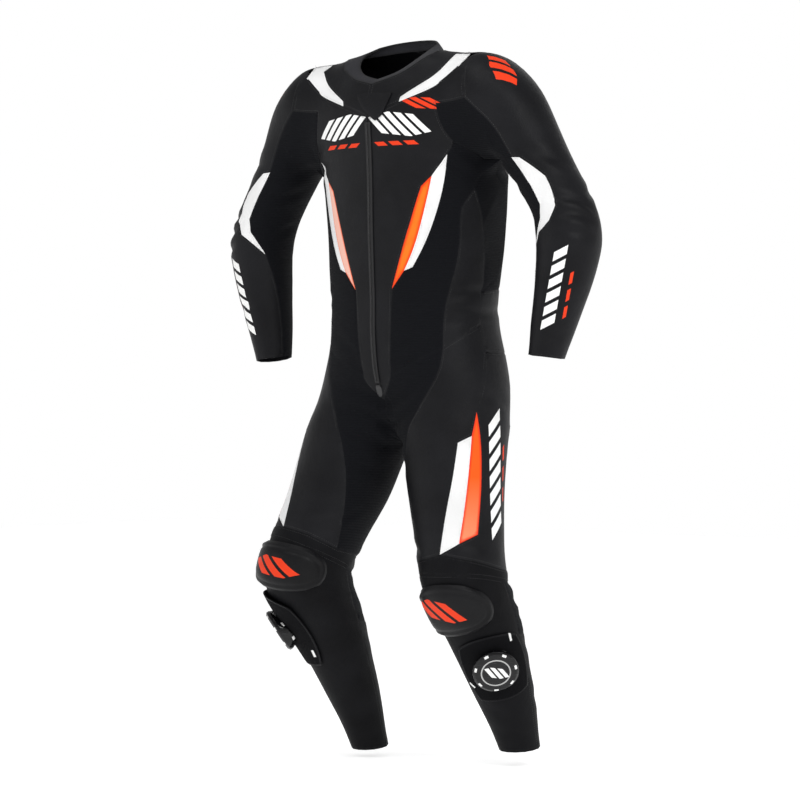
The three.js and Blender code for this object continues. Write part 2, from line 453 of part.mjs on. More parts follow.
// Lines of each side: name, region, stops and number of steps
const sideLines = [
  // Collar, yoke and shoulder stripe
  ['collarEdge', 'free', ['neckFront', collar(30), collar(60), collar(90), collar(120), collar(150),
    'neckBack'], 12],
  ['collarFoot', 'neck', ['bandFront', collarFoot(30), collarFoot(60), collarFoot(90), collarFoot(120),
    collarFoot(150), 'bandBack'], 12],
  ['yokeFoot', 'trunk', ['yokeFront', 'stripeTip'], 3],
  ['stripeNose', 'trunk', ['stripeTip', 'stripeTipUp'], 1],
  ['stripeLow', 'trunk', ['stripeTip', 'stripeBend'], 2],
  ['stripeLowEnd', 'trunk', ['stripeBend', near(172, -117, -26), 'stripeEnd'], 3],
  ['stripeUp', 'trunk', ['stripeTipUp', 'stripeBendUp'], 2],
  ['stripeUpEnd', 'trunk', ['stripeBendUp', near(150, -112, -8), 'stripeEndUp'], 3],
  ['stripeCap', 'trunk', ['stripeEndUp', 'stripeEnd'], 1],
  ['yokeRear', 'trunk', ['stripeEndUp', near(150, -10, 32), near(124, 62, -16), 'yokeBack'], 9],
  ['shoulder', 'trunk', ['stripeEnd', 'holeTop'], 2],
  // Armhole, and the stretch over the front of the armpit
  ['holeLow', 'hole', ['armpit', hole(35), hole(70), 'holeFront'], 5],
  ['holeHigh', 'hole', ['holeFront', hole(130), hole(155), 'holeTop'], 5],
  ['holeRear', 'hole', ['holeTop', hole(215), hole(250), hole(290), 'holeBack'], 7],
  ['holeUnder', 'hole', ['holeBack', hole(342), 'armpit'], 2],
  ['stretchHead', 'trunk', ['stretchTop', 'holeFront'], 3],
  ['stretchRise', 'trunk', ['stretchTop', 'stripeBend'], 2],
  ['stretchEdge', 'trunk', ['stretchTop', near(156, -122, -118), 'stretchNotch'], 3],
  ['stretchSeam', 'trunk', ['stretchNotch', near(203, -52, -178), 'armpit'], 4],
  // Chest, stripes and centre panel
  ['chestLine', 'trunk', ['chestFront', 'stretchTop'], 6],
  ['ribLine', 'trunk', ['ribFront', 'orangeTop'], 4],
  ['orangeHead', 'trunk', ['orangeTop', 'whiteInner'], 1],
  ['whiteHead', 'trunk', ['whiteInner', 'whiteTop'], 2],
  ['whiteNotch', 'trunk', ['whiteTop', 'stretchNotch'], 1],
  ['orangeInner', 'trunk', ['orangeTop', round(32, -320), 'orangeFoot'], 7],
  ['orangeOuter', 'trunk', ['whiteInner', round(43, -290), round(35, -370), 'whiteFoot'], 5],
  ['orangeHeel', 'trunk', ['whiteFoot', 'orangeFoot'], 2],
  ['whiteOuter', 'trunk', ['whiteTop', round(57, -214), round(53, -269), round(42, -362), 'whiteHeel'], 7],
  ['whiteFootLine', 'trunk', ['whiteFoot', 'whiteHeel'], 1],
  ['bellyLine', 'trunk', ['bellyFront', 'orangeFoot'], 2],
  ['middleEdge', 'trunk', ['orangeFoot', round(18, -513), 'middleHip'], 4],
  ['middleTip', 'trunk', ['middleHip', near(17, -122, -634), 'tipFront'], 4],
  // Flank, side stretch and back
  ['gusset', 'trunk', ['whiteTop', 'flankTop'], 4], ['flankArm', 'trunk', ['flankTop', 'armpit'], 2],
  ['heelLine', 'trunk', ['whiteHeel', 'flankFold'], 3],
  ['flankFront', 'trunk', ['flankTop', round(67, -275), round(66.5, -340), 'flankFold'], 7],
  ['flankFrontLow', 'trunk', ['flankFold', round(59, -470), 'flankHip'], 4],
  ['hipSeam', 'trunk', ['middleHip', round(30, -583), 'flankHip'], 4],
  ['wedgeFront', 'trunk', ['flankTop', round(82, -289), round(86, -356), 'wedgeFoot'], 8],
  ['wedgeRear', 'trunk', ['armpit', round(110, -258), round(118, -325), round(105, -393), 'wedgeFoot'], 8],
  ['flankRear', 'trunk', ['wedgeFoot', 'flankBack'], 3],
  ['flankFoot', 'trunk', ['flankHip', round(70, -524), 'flankBack'], 3],
  ['sideSeam', 'trunk', ['flankBack', 'sideHip'], 2],
  ['bladeLine', 'trunk', ['holeBack', round(122, -238), round(150, -282), 'bladeBack'], 9],
  ['loinFront', 'trunk', ['wedgeFoot', 'loinSide'], 3], ['loinLine', 'trunk', ['loinSide', 'loinBack'], 5],
  ['hipRear', 'trunk', ['loinSide', round(134, -490), 'seatSide'], 5],
  ['hipLine', 'trunk', ['sideHip', round(112, -558), 'seatSide'], 4],
  // Crotch, thigh and its stripes
  ['inFront', 'leg', ['flankHip', round(52, -592), near(118, -118, -640), leg(-10, -690, -690), 'inFold'], 8],
  ['crotchFold', 'nearest', ['crotchLow', leg(-58, -748, -748), 'inFold'], 4],
  ['sideOrange', 'leg', ['sideHip', round(78, -621), 'orangeUp'], 4],
  ['orangeTip', 'leg', ['orangeUp', 'whiteUpBack'], 2],
  ['whiteUpLine', 'leg', ['whiteUp', 'whiteUpBack'], 1],
  ['thighLine', 'leg', ['inFold', leg(8, -733, -725), 'whiteUp'], 4],
  ['inSeam', 'leg', ['inFold', leg(-38, -797, -789), leg(-53, -872, -868), 'innerBand'], 8],
  ['whiteFront', 'leg', ['whiteUp', leg(34, -805, -775), leg(25, -865, -830), 'whiteDown'], 8],
  ['whiteRear', 'leg', ['whiteUpBack', leg(53, -786, -757), leg(45, -873, -836), 'whiteDownBack'], 8],
  ['orangeRear', 'leg', ['orangeUp', leg(67, -728, -710), leg(68, -844, -812), 'orangeDown'], 10],
  ['whiteDownLine', 'leg', ['whiteDown', 'whiteDownBack'], 1],
  ['orangeDownLine', 'leg', ['whiteDownBack', 'orangeDown'], 1],
  ['sideDownLine', 'leg', ['orangeDown', leg(105, -920, -885), 'backLow'], 4],
  ['seatRear', 'leg', ['seatSide', round(142, -630), 'foldSide'], 6],
  ['seatFold', 'leg', ['foldSide', leg(180, -722, -722), 'crotchBack'], 5],
  ['rearSeam', 'leg', ['foldSide', leg(144, -815, -805), 'backLow'], 8],
  ['rearBand', 'leg', ['backLow', 'backOfBand'], 2],
  ['innerRear', 'leg', ['crotchBack', leg(214, -760, -760), leg(214, -860, -860), 'innerBack'], 10],
  // Band above the knee
  ['bandFrontTop', 'leg', ['innerBand', leg(-20, -962, -912), 'whiteDown'], 4],
  ['bandSideTop', 'leg', ['whiteDown', leg(60, -964, -905), leg(105, -981, -932), 'backOfBand'], 7],
  ['bandRearTop', 'leg', ['backOfBand', leg(180, -992, -966), 'innerBack'], 4],
  ['bandInnerTop', 'leg', ['innerBand', leg(-110, -980, -958), 'innerBack'], 4],
  ['bandClose', 'leg', ['innerBack', 'footOfBand'], 1],
  ['bandInnerFoot', 'leg', ['footOfBand', 'kneeInner'], 2],
  ['bandFrontFoot', 'leg', ['kneeInner', leg(-50, -994, -955), leg(0, -990, -928), leg(60, -992, -930),
    'kneeOuter'], 11],
  ['bandRearFoot', 'leg', ['kneeOuter', leg(160, -1014, -996), 'footOfBand'], 6],
  // Below the knee
  ['kneeIn', 'leg', ['kneeInner', 'calfInner'], 4], ['kneeOut', 'leg', ['kneeOuter', 'calfOuter'], 4],
  ['calfLine', 'leg', ['calfOuter', leg(150, -1111, -1096), leg(210, -1111, -1096), 'calfInner'], 8],
  ['shinIn', 'leg', ['calfInner', leg(-105, -1220, -1220), 'hemInner'], 8],
  ['shinOut', 'leg', ['calfOuter', leg(105, -1220, -1220), 'hemOuter'], 8],
  ['hemFront', 'leg', ['hemInner', leg(-55, -1353, -1368), leg(0, -1355, -1370), leg(55, -1353, -1368),
    'hemOuter'], 8],
  ['hemRear', 'leg', ['hemOuter', leg(150, -1344, -1358), leg(210, -1344, -1358), 'hemInner'], 6],
  // Sleeve and its elbow stripe
  ['seamFront', 'arm', ['holeFront', sleeve(-4, -116), 'stripeStart'], 5],
  ['elbowInner', 'arm', ['stripeStart', sleeve(-4, -235), sleeve(-6, -286), 'stripeStop'], 7],
  ['elbowOuter', 'arm', ['stripeStartOut', sleeve(33, -230), sleeve(22, -284), 'stripeStop'], 7],
  ['elbowHead', 'arm', ['stripeStart', 'stripeStartOut'], 1],
  ['foreFront', 'arm', ['stripeStop', sleeve(-70, -425), sleeve(-76, -500), 'cuffFront'], 7],
  ['upperRear', 'arm', ['holeBack', sleeve(215, -170), 'backUpper'], 5],
  ['elbowRear', 'arm', ['backUpper', 'backElbow'], 7],
  ['foreRear', 'arm', ['backElbow', sleeve(220, -460), 'cuffBack'], 7],
  ['upperLine', 'arm', ['stripeStartOut', sleeve(60, -190), sleeve(120, -200), sleeve(170, -212),
    'backUpper'], 9],
  ['elbowLine', 'arm', ['stripeStop', sleeve(0, -350), sleeve(60, -352), sleeve(120, -356),
    sleeve(170, -356), 'backElbow'], 10],
  ['cuffOuter', 'arm', ['cuffFront', sleeve(-30, -564), sleeve(30, -568), sleeve(90, -572),
    sleeve(150, -570), 'cuffBack'], 9],
  ['cuffInner', 'arm', ['cuffFront', sleeve(-108, -558), 'cuffBack'], 3],
];

// Panel areas: panel, region, and the chains at its front, rear, top and foot
const sidePanels = [
  ['collar_band', 'free', ['frontBand'], ['backBand'], ['collarEdge'], ['collarFoot']],
  ['yoke_', 'trunk', ['frontYoke'], ['backYoke'], ['collarFoot'],
    ['yokeFoot', 'stripeNose', 'stripeUp', 'stripeUpEnd', 'yokeRear']],
  ['shoulder_stripe_', 'trunk', ['-stripeNose'], ['stripeCap'], ['stripeUp', 'stripeUpEnd'],
    ['stripeLow', 'stripeLowEnd']],
  ['front_leather_', 'trunk', ['frontChest'], ['-stretchRise'], ['yokeFoot', 'stripeLow'], ['chestLine']],
  ['front_leather_', 'trunk', ['-stripeLowEnd', '-stretchRise'], ['-holeHigh'], ['shoulder'],
    ['stretchHead']],
  ['front_leather_', 'trunk', ['frontRib'], ['stretchEdge'], ['chestLine'],
    ['ribLine', 'orangeHead', 'whiteHead', 'whiteNotch']],
  ['front_leather_', 'trunk', ['frontBelly'], ['orangeInner'], ['ribLine'], ['bellyLine']],
  ['front_leather_', 'trunk', ['frontTip'], ['middleEdge', 'middleTip'], ['bellyLine'], ['=tipFront']],
  ['torso_orange_', 'trunk', ['orangeInner'], ['orangeOuter', 'orangeHeel'], ['orangeHead'],
    ['=orangeFoot']],
  ['torso_white_', 'trunk', ['-whiteHead', 'orangeOuter'], ['whiteOuter'], ['=whiteTop'],
    ['whiteFootLine']],
  ['belly_stretch_', 'trunk', ['-whiteNotch'], ['-flankArm'], ['stretchSeam'], ['gusset']],
  ['belly_stretch_', 'trunk', ['whiteOuter'], ['flankFront'], ['gusset'], ['heelLine']],
  ['belly_stretch_', 'trunk', ['middleEdge'], ['flankFrontLow'], ['-orangeHeel', 'whiteFootLine',
    'heelLine'], ['hipSeam']],
  ['side_stretch_', 'trunk', ['wedgeFront'], ['wedgeRear'], ['flankArm'], ['=wedgeFoot']],
  ['flank_leather_', 'trunk', ['flankFront', 'flankFrontLow'], ['wedgeFront', 'flankRear'],
    ['=flankTop'], ['flankFoot']],
  ['back_upper', 'trunk', ['stripeCap', 'shoulder', 'holeRear'], ['backBlade'],
    ['yokeRear'], ['bladeLine']],
  ['lumbar_stretch', 'trunk', ['wedgeRear'], ['backLoin'], ['-holeUnder', 'bladeLine'],
    ['loinFront', 'loinLine']],
  ['hip_side_', 'trunk', ['flankRear', 'sideSeam'], ['hipRear'], ['loinFront'], ['hipLine']],
  ['seat_', 'leg', ['hipRear', 'seatRear'], ['backSeat'], ['loinLine'], ['seatFold']],
  ['crotch_stretch_', 'nearest', ['crotchFront'], ['inFront'], ['-middleTip', 'hipSeam'], ['crotchFold']],
  ['crotch_stretch_', 'nearest', ['innerRear'], ['inSeam'], ['-crotchRear', 'crotchFold'],
    ['-bandInnerTop']],
  ['thigh_front_', 'leg', ['inFront'], ['sideSeam', 'sideOrange', 'orangeTip'], ['flankFoot'],
    ['thighLine', 'whiteUpLine']],
  ['thigh_front_', 'leg', ['inSeam'], ['whiteFront'], ['thighLine'], ['bandFrontTop']],
  ['thigh_white_', 'leg', ['whiteFront'], ['whiteRear'], ['whiteUpLine'], ['whiteDownLine']],
  ['thigh_orange_', 'leg', ['orangeTip', 'whiteRear'], ['orangeRear'], ['=orangeUp'],
    ['orangeDownLine']],
  ['thigh_side_', 'leg', ['sideOrange', 'orangeRear'], ['seatRear', 'rearSeam'], ['hipLine'],
    ['sideDownLine']],
  ['thigh_side_', 'leg', ['=whiteDown'], ['rearBand'], ['whiteDownLine', 'orangeDownLine',
    'sideDownLine'], ['bandSideTop']],
  ['thigh_back_', 'leg', ['rearSeam', 'rearBand'], ['innerRear'], ['seatFold'], ['bandRearTop']],
  ['knee_band_', 'leg', ['bandClose'], ['bandClose'],
    ['-bandInnerTop', 'bandFrontTop', 'bandSideTop', 'bandRearTop'],
    ['bandInnerFoot', 'bandFrontFoot', 'bandRearFoot']],
  ['knee_back_', 'leg', ['kneeOut'], ['kneeIn'], ['bandRearFoot', 'bandInnerFoot'], ['calfLine']],
  ['shin_', 'leg', ['kneeIn', 'shinIn'], ['kneeOut', 'shinOut'], ['bandFrontFoot'], ['hemFront']],
  ['calf_', 'leg', ['shinOut'], ['shinIn'], ['calfLine'], ['hemRear']],
  ['sleeve_outer_', 'arm', ['seamFront'], ['upperRear'], ['holeHigh', 'holeRear'],
    ['elbowHead', 'upperLine']],
  ['elbow_stripe_', 'arm', ['elbowInner'], ['elbowOuter'], ['elbowHead'], ['=stripeStop']],
  ['sleeve_outer_', 'arm', ['elbowOuter'], ['elbowRear'], ['upperLine'], ['elbowLine']],
  ['sleeve_outer_', 'arm', ['foreFront'], ['foreRear'], ['elbowLine'], ['cuffOuter']],
  ['sleeve_inner_', 'arm', ['upperRear', 'elbowRear', 'foreRear'], ['seamFront', 'elbowInner',
    'foreFront'], ['holeUnder', 'holeLow'], ['-cuffInner']],
  ['sleeve_inner_', 'trunk', ['stretchEdge'], ['-holeLow'], ['stretchHead'], ['stretchSeam']],
];

const middle = new Pattern(1);
middle.place(middlePlaces);
middleLines.forEach((row) => middle.line(row));
for (const side of [1, -1]) {
  const half = new Pattern(side, middle);
  half.place(sidePlaces);
  sideLines.forEach((row) => half.line(row));
  sidePanels.forEach((row) => half.panel(row));
}

// Outward direction at each shared point: the body's own, or off the body that of the faces there
function surfaceNormal(p) {
  const probe = 2;
  const slope = (dx, dy, dz) => bodyDistance(p.x + dx, p.y + dy, p.z + dz)
    - bodyDistance(p.x - dx, p.y - dy, p.z - dz);
  return V(slope(probe, 0, 0), slope(0, probe, 0), slope(0, 0, probe)).normalize();
}
const normals = points.map(() => V(0, 0, 0));
for (const { ring } of faces) {
  const sum = V(0, 0, 0);
  ring.forEach((index, i) => sum.add(points[index].clone().cross(points[ring[(i + 1) % ring.length]])));
  ring.forEach((index) => normals[index].add(sum));
}
const onSurface = 0.5;
points.forEach((p, i) => {
  if (Math.abs(bodyDistance(p.x, p.y, p.z)) < onSurface) normals[i].copy(surfaceNormal(p));
  else normals[i].normalize();
});

const cloths = {
  leather: { color: 0x222224, roughness: 0.42, metalness: 0, wall: leatherWall },
  stretch: { color: 0x101216, roughness: 0.85, metalness: 0, wall: stretchWall },
  white: { color: 0xf0f0ee, roughness: 0.4, metalness: 0, wall: leatherWall },
  orange: { color: 0xf04a10, roughness: 0.4, metalness: 0, wall: leatherWall },
  band: { color: 0xc9c9c8, roughness: 0.9, metalness: 0, wall: bandWall },
};
const clothOf = {
  collar_band: 'band', yoke_: 'leather', shoulder_stripe_: 'white', front_leather_: 'leather',
  torso_white_: 'white', torso_orange_: 'orange', belly_stretch_: 'stretch', side_stretch_: 'stretch',
  flank_leather_: 'leather', back_upper: 'leather', lumbar_stretch: 'stretch', hip_side_: 'leather',
  seat_: 'leather', crotch_stretch_: 'stretch', sleeve_outer_: 'leather', sleeve_inner_: 'stretch',
  elbow_stripe_: 'white', thigh_front_: 'leather', thigh_side_: 'leather', thigh_white_: 'white',
  thigh_orange_: 'orange', thigh_back_: 'leather', knee_band_: 'leather', knee_back_: 'stretch',
  shin_: 'leather', calf_: 'leather',
};

const suit = new THREE.Group();
suit.name = 'race_suit';
function addMesh(name, positions, triangles, look) {
  const geometry = new THREE.BufferGeometry();
  const numbers = positions.flatMap((p) => p.toArray());
  geometry.setAttribute('position', new THREE.Float32BufferAttribute(numbers, 3));
  geometry.setIndex(triangles.flat());
  geometry.computeVertexNormals();
  const { color, roughness, metalness } = look;
  const mesh = new THREE.Mesh(geometry, new THREE.MeshStandardMaterial({ color, roughness, metalness }));
  mesh.name = name;
  suit.add(mesh);
}

// A closed wall from faces: outer points, inner points below them, and side faces round every edge.
// Neighbours split the side faces along their common seam alike, in an order set by this direction
const sideOrder = V(0.6, 0.9, 1);
function closedWall(name, rings, outer, inner, look) {
  const count = outer.length;
  const triangles = [];
  const edges = new Map();
  for (const ring of rings) {
    const span = (i, j) => {
      const { x, y, z } = outer[ring[i]].clone().lerp(outer[ring[j]], 0.5);
      return Math.abs(bodyDistance(x, y, z));
    };
    const turned = ring.length === 4 && span(1, 3) < span(0, 2) ? [...ring.slice(1), ring[0]] : ring;
    for (let i = 1; i + 1 < turned.length; i += 1) {
      triangles.push([turned[0], turned[i], turned[i + 1]]);
      triangles.push([turned[0] + count, turned[i + 1] + count, turned[i] + count]);
    }
    ring.forEach((from, i) => edges.set(`${from} ${ring[(i + 1) % ring.length]}`, true));
  }
  for (const key of edges.keys()) {
    const [from, to] = key.split(' ').map(Number);
    if (edges.has(`${to} ${from}`)) continue;
    if (sideOrder.dot(outer[from]) < sideOrder.dot(outer[to])) {
      triangles.push([to, from, from + count], [to, from + count, to + count]);
    } else {
      triangles.push([to, from, to + count], [from, from + count, to + count]);
    }
  }
  addMesh(name, [...outer, ...inner], triangles, look);
}

// Every panel: its faces with the free edges set back by half a seam gap, as a wall of its cloth
function addPanel(panel) {
  const look = cloths[clothOf[panel.replace(/[LR]$/, '')]];
  const own = faces.filter((face) => face.panel === panel);
  const local = new Map();
  for (const index of own.flatMap((face) => face.ring)) if (!local.has(index)) local.set(index, local.size);
  const indices = [...local.keys()];
  const inset = indices.map(() => []);
  const directed = new Set(own.flatMap(({ ring }) =>
    ring.map((from, i) => `${from} ${ring[(i + 1) % ring.length]}`)));
  for (const key of directed) {
    const [from, to] = key.split(' ').map(Number);
    if (directed.has(`${to} ${from}`)) continue;
    const edge = points[to].clone().sub(points[from]);
    for (const end of [from, to]) {
      inset[local.get(end)].push(normals[end].clone().cross(edge).normalize());
    }
  }
  const outer = indices.map((index, i) => {
    const shift = inset[i].reduce((sum, way) => sum.add(way), V(0, 0, 0));
    const pair = inset[i].length === 2 ? 1 + inset[i][0].dot(inset[i][1]) : inset[i].length || 1;
    return points[index].clone().addScaledVector(shift, seamGap / 2 / Math.max(pair, 0.35));
  });
  const inner = outer.map((p, i) => p.clone().addScaledVector(normals[indices[i]], -look.wall));
  closedWall(panel, own.map(({ ring }) => ring.map((index) => local.get(index))), outer, inner, look);
}
for (const panel of new Set(faces.map((face) => face.panel))) addPanel(panel);

// Pieces that lie on the panels: a grid of places on the body, lifted, with a height over it
function addOverlay(name, columns, rows, placeAt, lift, heightAt, look) {
  const outer = [];
  const inner = [];
  const rings = [];
  for (let i = 0; i <= rows; i += 1) {
    for (let j = 0; j <= columns; j += 1) {
      const p = placeAt(j / columns, i / rows);
      const normal = surfaceNormal(p);
      inner.push(p.clone().addScaledVector(normal, lift));
      outer.push(p.clone().addScaledVector(normal, lift + heightAt(j / columns, i / rows)));
      if (i < rows && j < columns) {
        const at = i * (columns + 1) + j;
        rings.push([at, at + columns + 1, at + columns + 2, at + 1]);
      }
    }
  }
  closedWall(name, rings, outer, inner, look);
}
const mix = THREE.MathUtils.lerp;
const trim = { color: 0x141416, roughness: 0.5, metalness: 0 };
const gloss = { color: 0x101012, roughness: 0.15, metalness: 0 };

// Throat flap, pointed at its foot, over the top of the front zip
addOverlay('neck_flap', flap.columns, flap.rows, (u, v) => {
  const point = Math.abs(u - 0.6) * 2;
  const z = mix(flap.z, flap.zFoot + point * flap.rise * v, v);
  return near(mix(mix(flap.left, flap.leftFoot, v), mix(flap.right, flap.rightFoot, v), u), -150, z)(1);
}, flap.lift, () => flap.height, cloths.leather);

// Front zip and the tab under its foot
addOverlay('front_zip', 2, zip.rows, (u, v) => near(mix(-zip.halfWidth, zip.halfWidth, u), -140,
  mix(zip.top, zip.foot, v))(1), zip.lift, () => zip.height, trim);
addOverlay('zip_tab', tab.columns, tab.rows, (u, v) => {
  const half = tab.halfWidth * Math.sqrt(1 - (2 * v - 1) ** 4 * tab.rounding);
  return near(mix(-half, half, u), -130, mix(tab.top, tab.foot, v))(1);
}, tab.lift, (u) => mix(tab.rim, tab.height, Math.sin(u * Math.PI)), trim);

// Knee pads, patches for the sliders, and the sliders
function rounded(u, v, corner) {
  const a = 2 * u - 1;
  const b = 2 * v - 1;
  return { a: a * Math.sqrt(1 - corner * b * b), b: b * Math.sqrt(1 - corner * a * a) };
}
for (const side of [1, -1]) {
  const letter = side > 0 ? 'L' : 'R';
  const laid = [['knee_pad_', pad, trim], ['slider_patch_', patchSheet, cloths.stretch]];
  for (const [name, form, look] of laid) {
    const middleZ = form.z[letter];
    const halfZ = form.halfHeight[letter];
    addOverlay(name + letter, form.columns, form.rows, (u, v) => {
      const { a, b } = rounded(side > 0 ? u : 1 - u, v, form.corner);
      const z = middleZ + form.tilt * a * form.halfAngle - b * halfZ;
      return leg(form.angle + a * form.halfAngle, z, z)(side);
    }, form.lift, (u, v) => {
      const edge = Math.min(u, 1 - u, v, 1 - v) * 2;
      return mix(form.rim, form.crown, Math.min(1, edge / form.shoulder));
    }, look);
  }
  const z = patchSheet.z[letter] + puck.up;
  const foot = leg(puck.angle, z, z)(side);
  const normal = surfaceNormal(foot);
  const turn = new THREE.Quaternion().setFromUnitVectors(V(0, 0, 1), normal);
  const { radius: wide, chamfer, height: tall } = puck;
  const baseRings = 3;
  const profile = [[wide * 0.3, 0], [wide * 0.6, 0], [wide - chamfer, 0], [wide, chamfer],
    [wide, tall - chamfer], [wide - chamfer, tall - 1], [wide * 0.5, tall]];
  const rings = [];
  const positions = [V(0, 0, 0)];
  for (const [radius, height] of profile) {
    const start = positions.length;
    for (let i = 0; i < puck.sides; i += 1) {
      const angle = i / puck.sides * 2 * Math.PI;
      positions.push(V(radius * Math.cos(angle), radius * Math.sin(angle), height));
    }
    rings.push(start);
  }
  positions.push(V(0, 0, puck.height));
  const triangles = [];
  for (let i = 0; i < puck.sides; i += 1) {
    const j = (i + 1) % puck.sides;
    triangles.push([0, rings[0] + j, rings[0] + i]);
    triangles.push([positions.length - 1, rings[rings.length - 1] + i, rings[rings.length - 1] + j]);
    for (let k = 0; k + 1 < rings.length; k += 1) {
      triangles.push([rings[k] + i, rings[k] + j, rings[k + 1] + j]);
      triangles.push([rings[k] + i, rings[k + 1] + j, rings[k + 1] + i]);
    }
  }
  const inside = 60;
  positions.forEach((p, i) => {
    const base = i <= baseRings * puck.sides;
    p.applyQuaternion(turn).add(foot).addScaledVector(normal, base ? -inside : puck.lift);
    if (base) p.copy(march(p, normal)).addScaledVector(normal, puck.lift);
  });
  addMesh(`knee_slider_${letter}`, positions, triangles, gloss);
}

export default suit;
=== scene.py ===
import math

import bmesh
import bpy
import numpy as np
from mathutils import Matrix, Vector
from mathutils.kdtree import KDTree


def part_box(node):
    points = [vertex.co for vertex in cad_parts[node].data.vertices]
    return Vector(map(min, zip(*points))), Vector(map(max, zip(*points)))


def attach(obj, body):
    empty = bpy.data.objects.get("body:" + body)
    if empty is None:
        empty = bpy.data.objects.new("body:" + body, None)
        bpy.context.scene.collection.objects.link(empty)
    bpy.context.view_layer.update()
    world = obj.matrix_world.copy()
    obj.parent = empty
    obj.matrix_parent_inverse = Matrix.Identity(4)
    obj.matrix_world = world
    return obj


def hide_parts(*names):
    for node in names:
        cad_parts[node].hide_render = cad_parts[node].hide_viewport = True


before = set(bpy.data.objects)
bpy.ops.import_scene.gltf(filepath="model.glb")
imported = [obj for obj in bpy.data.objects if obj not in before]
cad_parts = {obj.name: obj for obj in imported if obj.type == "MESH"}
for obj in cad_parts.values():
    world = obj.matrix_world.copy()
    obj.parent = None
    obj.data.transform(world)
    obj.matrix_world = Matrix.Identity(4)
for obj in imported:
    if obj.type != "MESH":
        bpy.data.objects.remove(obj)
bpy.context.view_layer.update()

# Camera
# The camera stands 6 m off, level with the hips and turned 39 degrees towards the
# wearer's left.
camera = bpy.data.objects.new("camera", bpy.data.cameras.new("camera"))
bpy.context.scene.collection.objects.link(camera)
bpy.context.scene.camera = camera
camera_turn = math.radians(39)
camera_away = Vector((math.sin(camera_turn), -math.cos(camera_turn), 0))
camera_right = Vector((math.cos(camera_turn), math.sin(camera_turn), 0))
camera_distance, camera_shift, camera_height = 6, -0.033, -0.650
camera.location = camera_away * camera_distance + camera_right * camera_shift
camera.location.z = camera_height
camera.rotation_euler = (math.pi / 2, 0, camera_turn)
camera.data.lens = 135
camera.data.sensor_width = 36
bpy.context.scene.view_settings.view_transform = "Standard"


# Front leather
# Two panels of smooth grain leather beside the zip, cut in one length from the yoke to the
# crotch, lapped at each seam and topstitched there.
class Value:
    """A socket in a material's nodes that takes plain arithmetic."""

    def __init__(self, shade, socket):
        self.shade = shade
        self.socket = socket

    def math(self, operation, *others):
        values = {"operation": operation}
        return self.shade.node("ShaderNodeMath", values, list(others))

    def __add__(self, other):
        return self.math("ADD", self, other)

    def __radd__(self, other):
        return self.math("ADD", other, self)

    def __sub__(self, other):
        return self.math("SUBTRACT", self, other)

    def __rsub__(self, other):
        return self.math("SUBTRACT", other, self)

    def __mul__(self, other):
        return self.math("MULTIPLY", self, other)

    def __rmul__(self, other):
        return self.math("MULTIPLY", other, self)

    def __truediv__(self, other):
        return self.math("DIVIDE", self, other)

    def __abs__(self):
        return self.math("ABSOLUTE", self)

    def below(self, limit):
        return self.math("LESS_THAN", self, limit)

    def part(self):
        return self.math("FRACT", self)

    def held(self, low, high):
        """0 at low and under, 1 at high and over, straight between."""
        return self.shade.node("ShaderNodeMapRange", {}, [self, low, high, 0.0, 1.0])


class Shade:
    """The nodes of one material; place is the position in the suit's frame, in metres."""

    def __init__(self, name):
        self.material = bpy.data.materials.new(name)
        self.material.use_nodes = True
        self.tree = self.material.node_tree
        self.surface = self.tree.nodes["Principled BSDF"]
        self.place = self.node("ShaderNodeTexCoord", {}, [], output=3)

    def node(self, kind, values, takes, output=0):
        made = self.tree.nodes.new(kind)
        for name, value in values.items():
            setattr(made, name, value)
        pairs = takes.items() if isinstance(takes, dict) else enumerate(takes)
        for key, value in pairs:
            if isinstance(value, Value):
                self.tree.links.new(value.socket, made.inputs[key])
            else:
                made.inputs[key].default_value = value
        return Value(self, made.outputs[output])

    def noise(self, scale, detail=2.0, where=None):
        takes = {"Vector": where or self.place, "Scale": scale, "Detail": detail}
        return self.node("ShaderNodeTexNoise", {}, takes)

    def cells(self, scale, where=None):
        takes = {"Vector": where or self.place, "Scale": scale}
        return self.node("ShaderNodeTexVoronoi", {"feature": "SMOOTH_F1"}, takes)

    def stretched(self, scale):
        """The position, scaled apart along each axis."""
        values = {"operation": "MULTIPLY"}
        return self.node("ShaderNodeVectorMath", values, [self.place, scale])

    def from_point(self, point):
        values = {"operation": "SUBTRACT"}
        return self.node("ShaderNodeVectorMath", values, [self.place, tuple(point)])

    def along(self, vector, way):
        values = {"operation": "DOT_PRODUCT"}
        return self.node("ShaderNodeVectorMath", values, [vector, tuple(way)], output=1)

    def mix(self, first, second, share):
        values = {"data_type": "RGBA"}
        return self.node("ShaderNodeMix", values, {0: share, 6: first, 7: second}, output=2)

    def bump(self, height, depth, under=None):
        takes = {"Strength": 1.0, "Distance": depth, "Height": height}
        if under:
            takes["Normal"] = under
        return self.node("ShaderNodeBump", {}, takes)

    def near_seam(self):
        """0 at the panel's edge, 1 from 12 mm inside it."""
        return self.node("ShaderNodeAttribute", {"attribute_name": "seam"}, [], output=2)

    def finish(self, color, roughness, normal, fixed=()):
        for key, value in (("Base Color", color), ("Roughness", roughness), ("Normal", normal)):
            self.tree.links.new(value.socket, self.surface.inputs[key])
        for key, value in dict(fixed).items():
            self.surface.inputs[key].default_value = value
        return self.material


def rgb(red, green, blue):
    return (red, green, blue, 1.0)


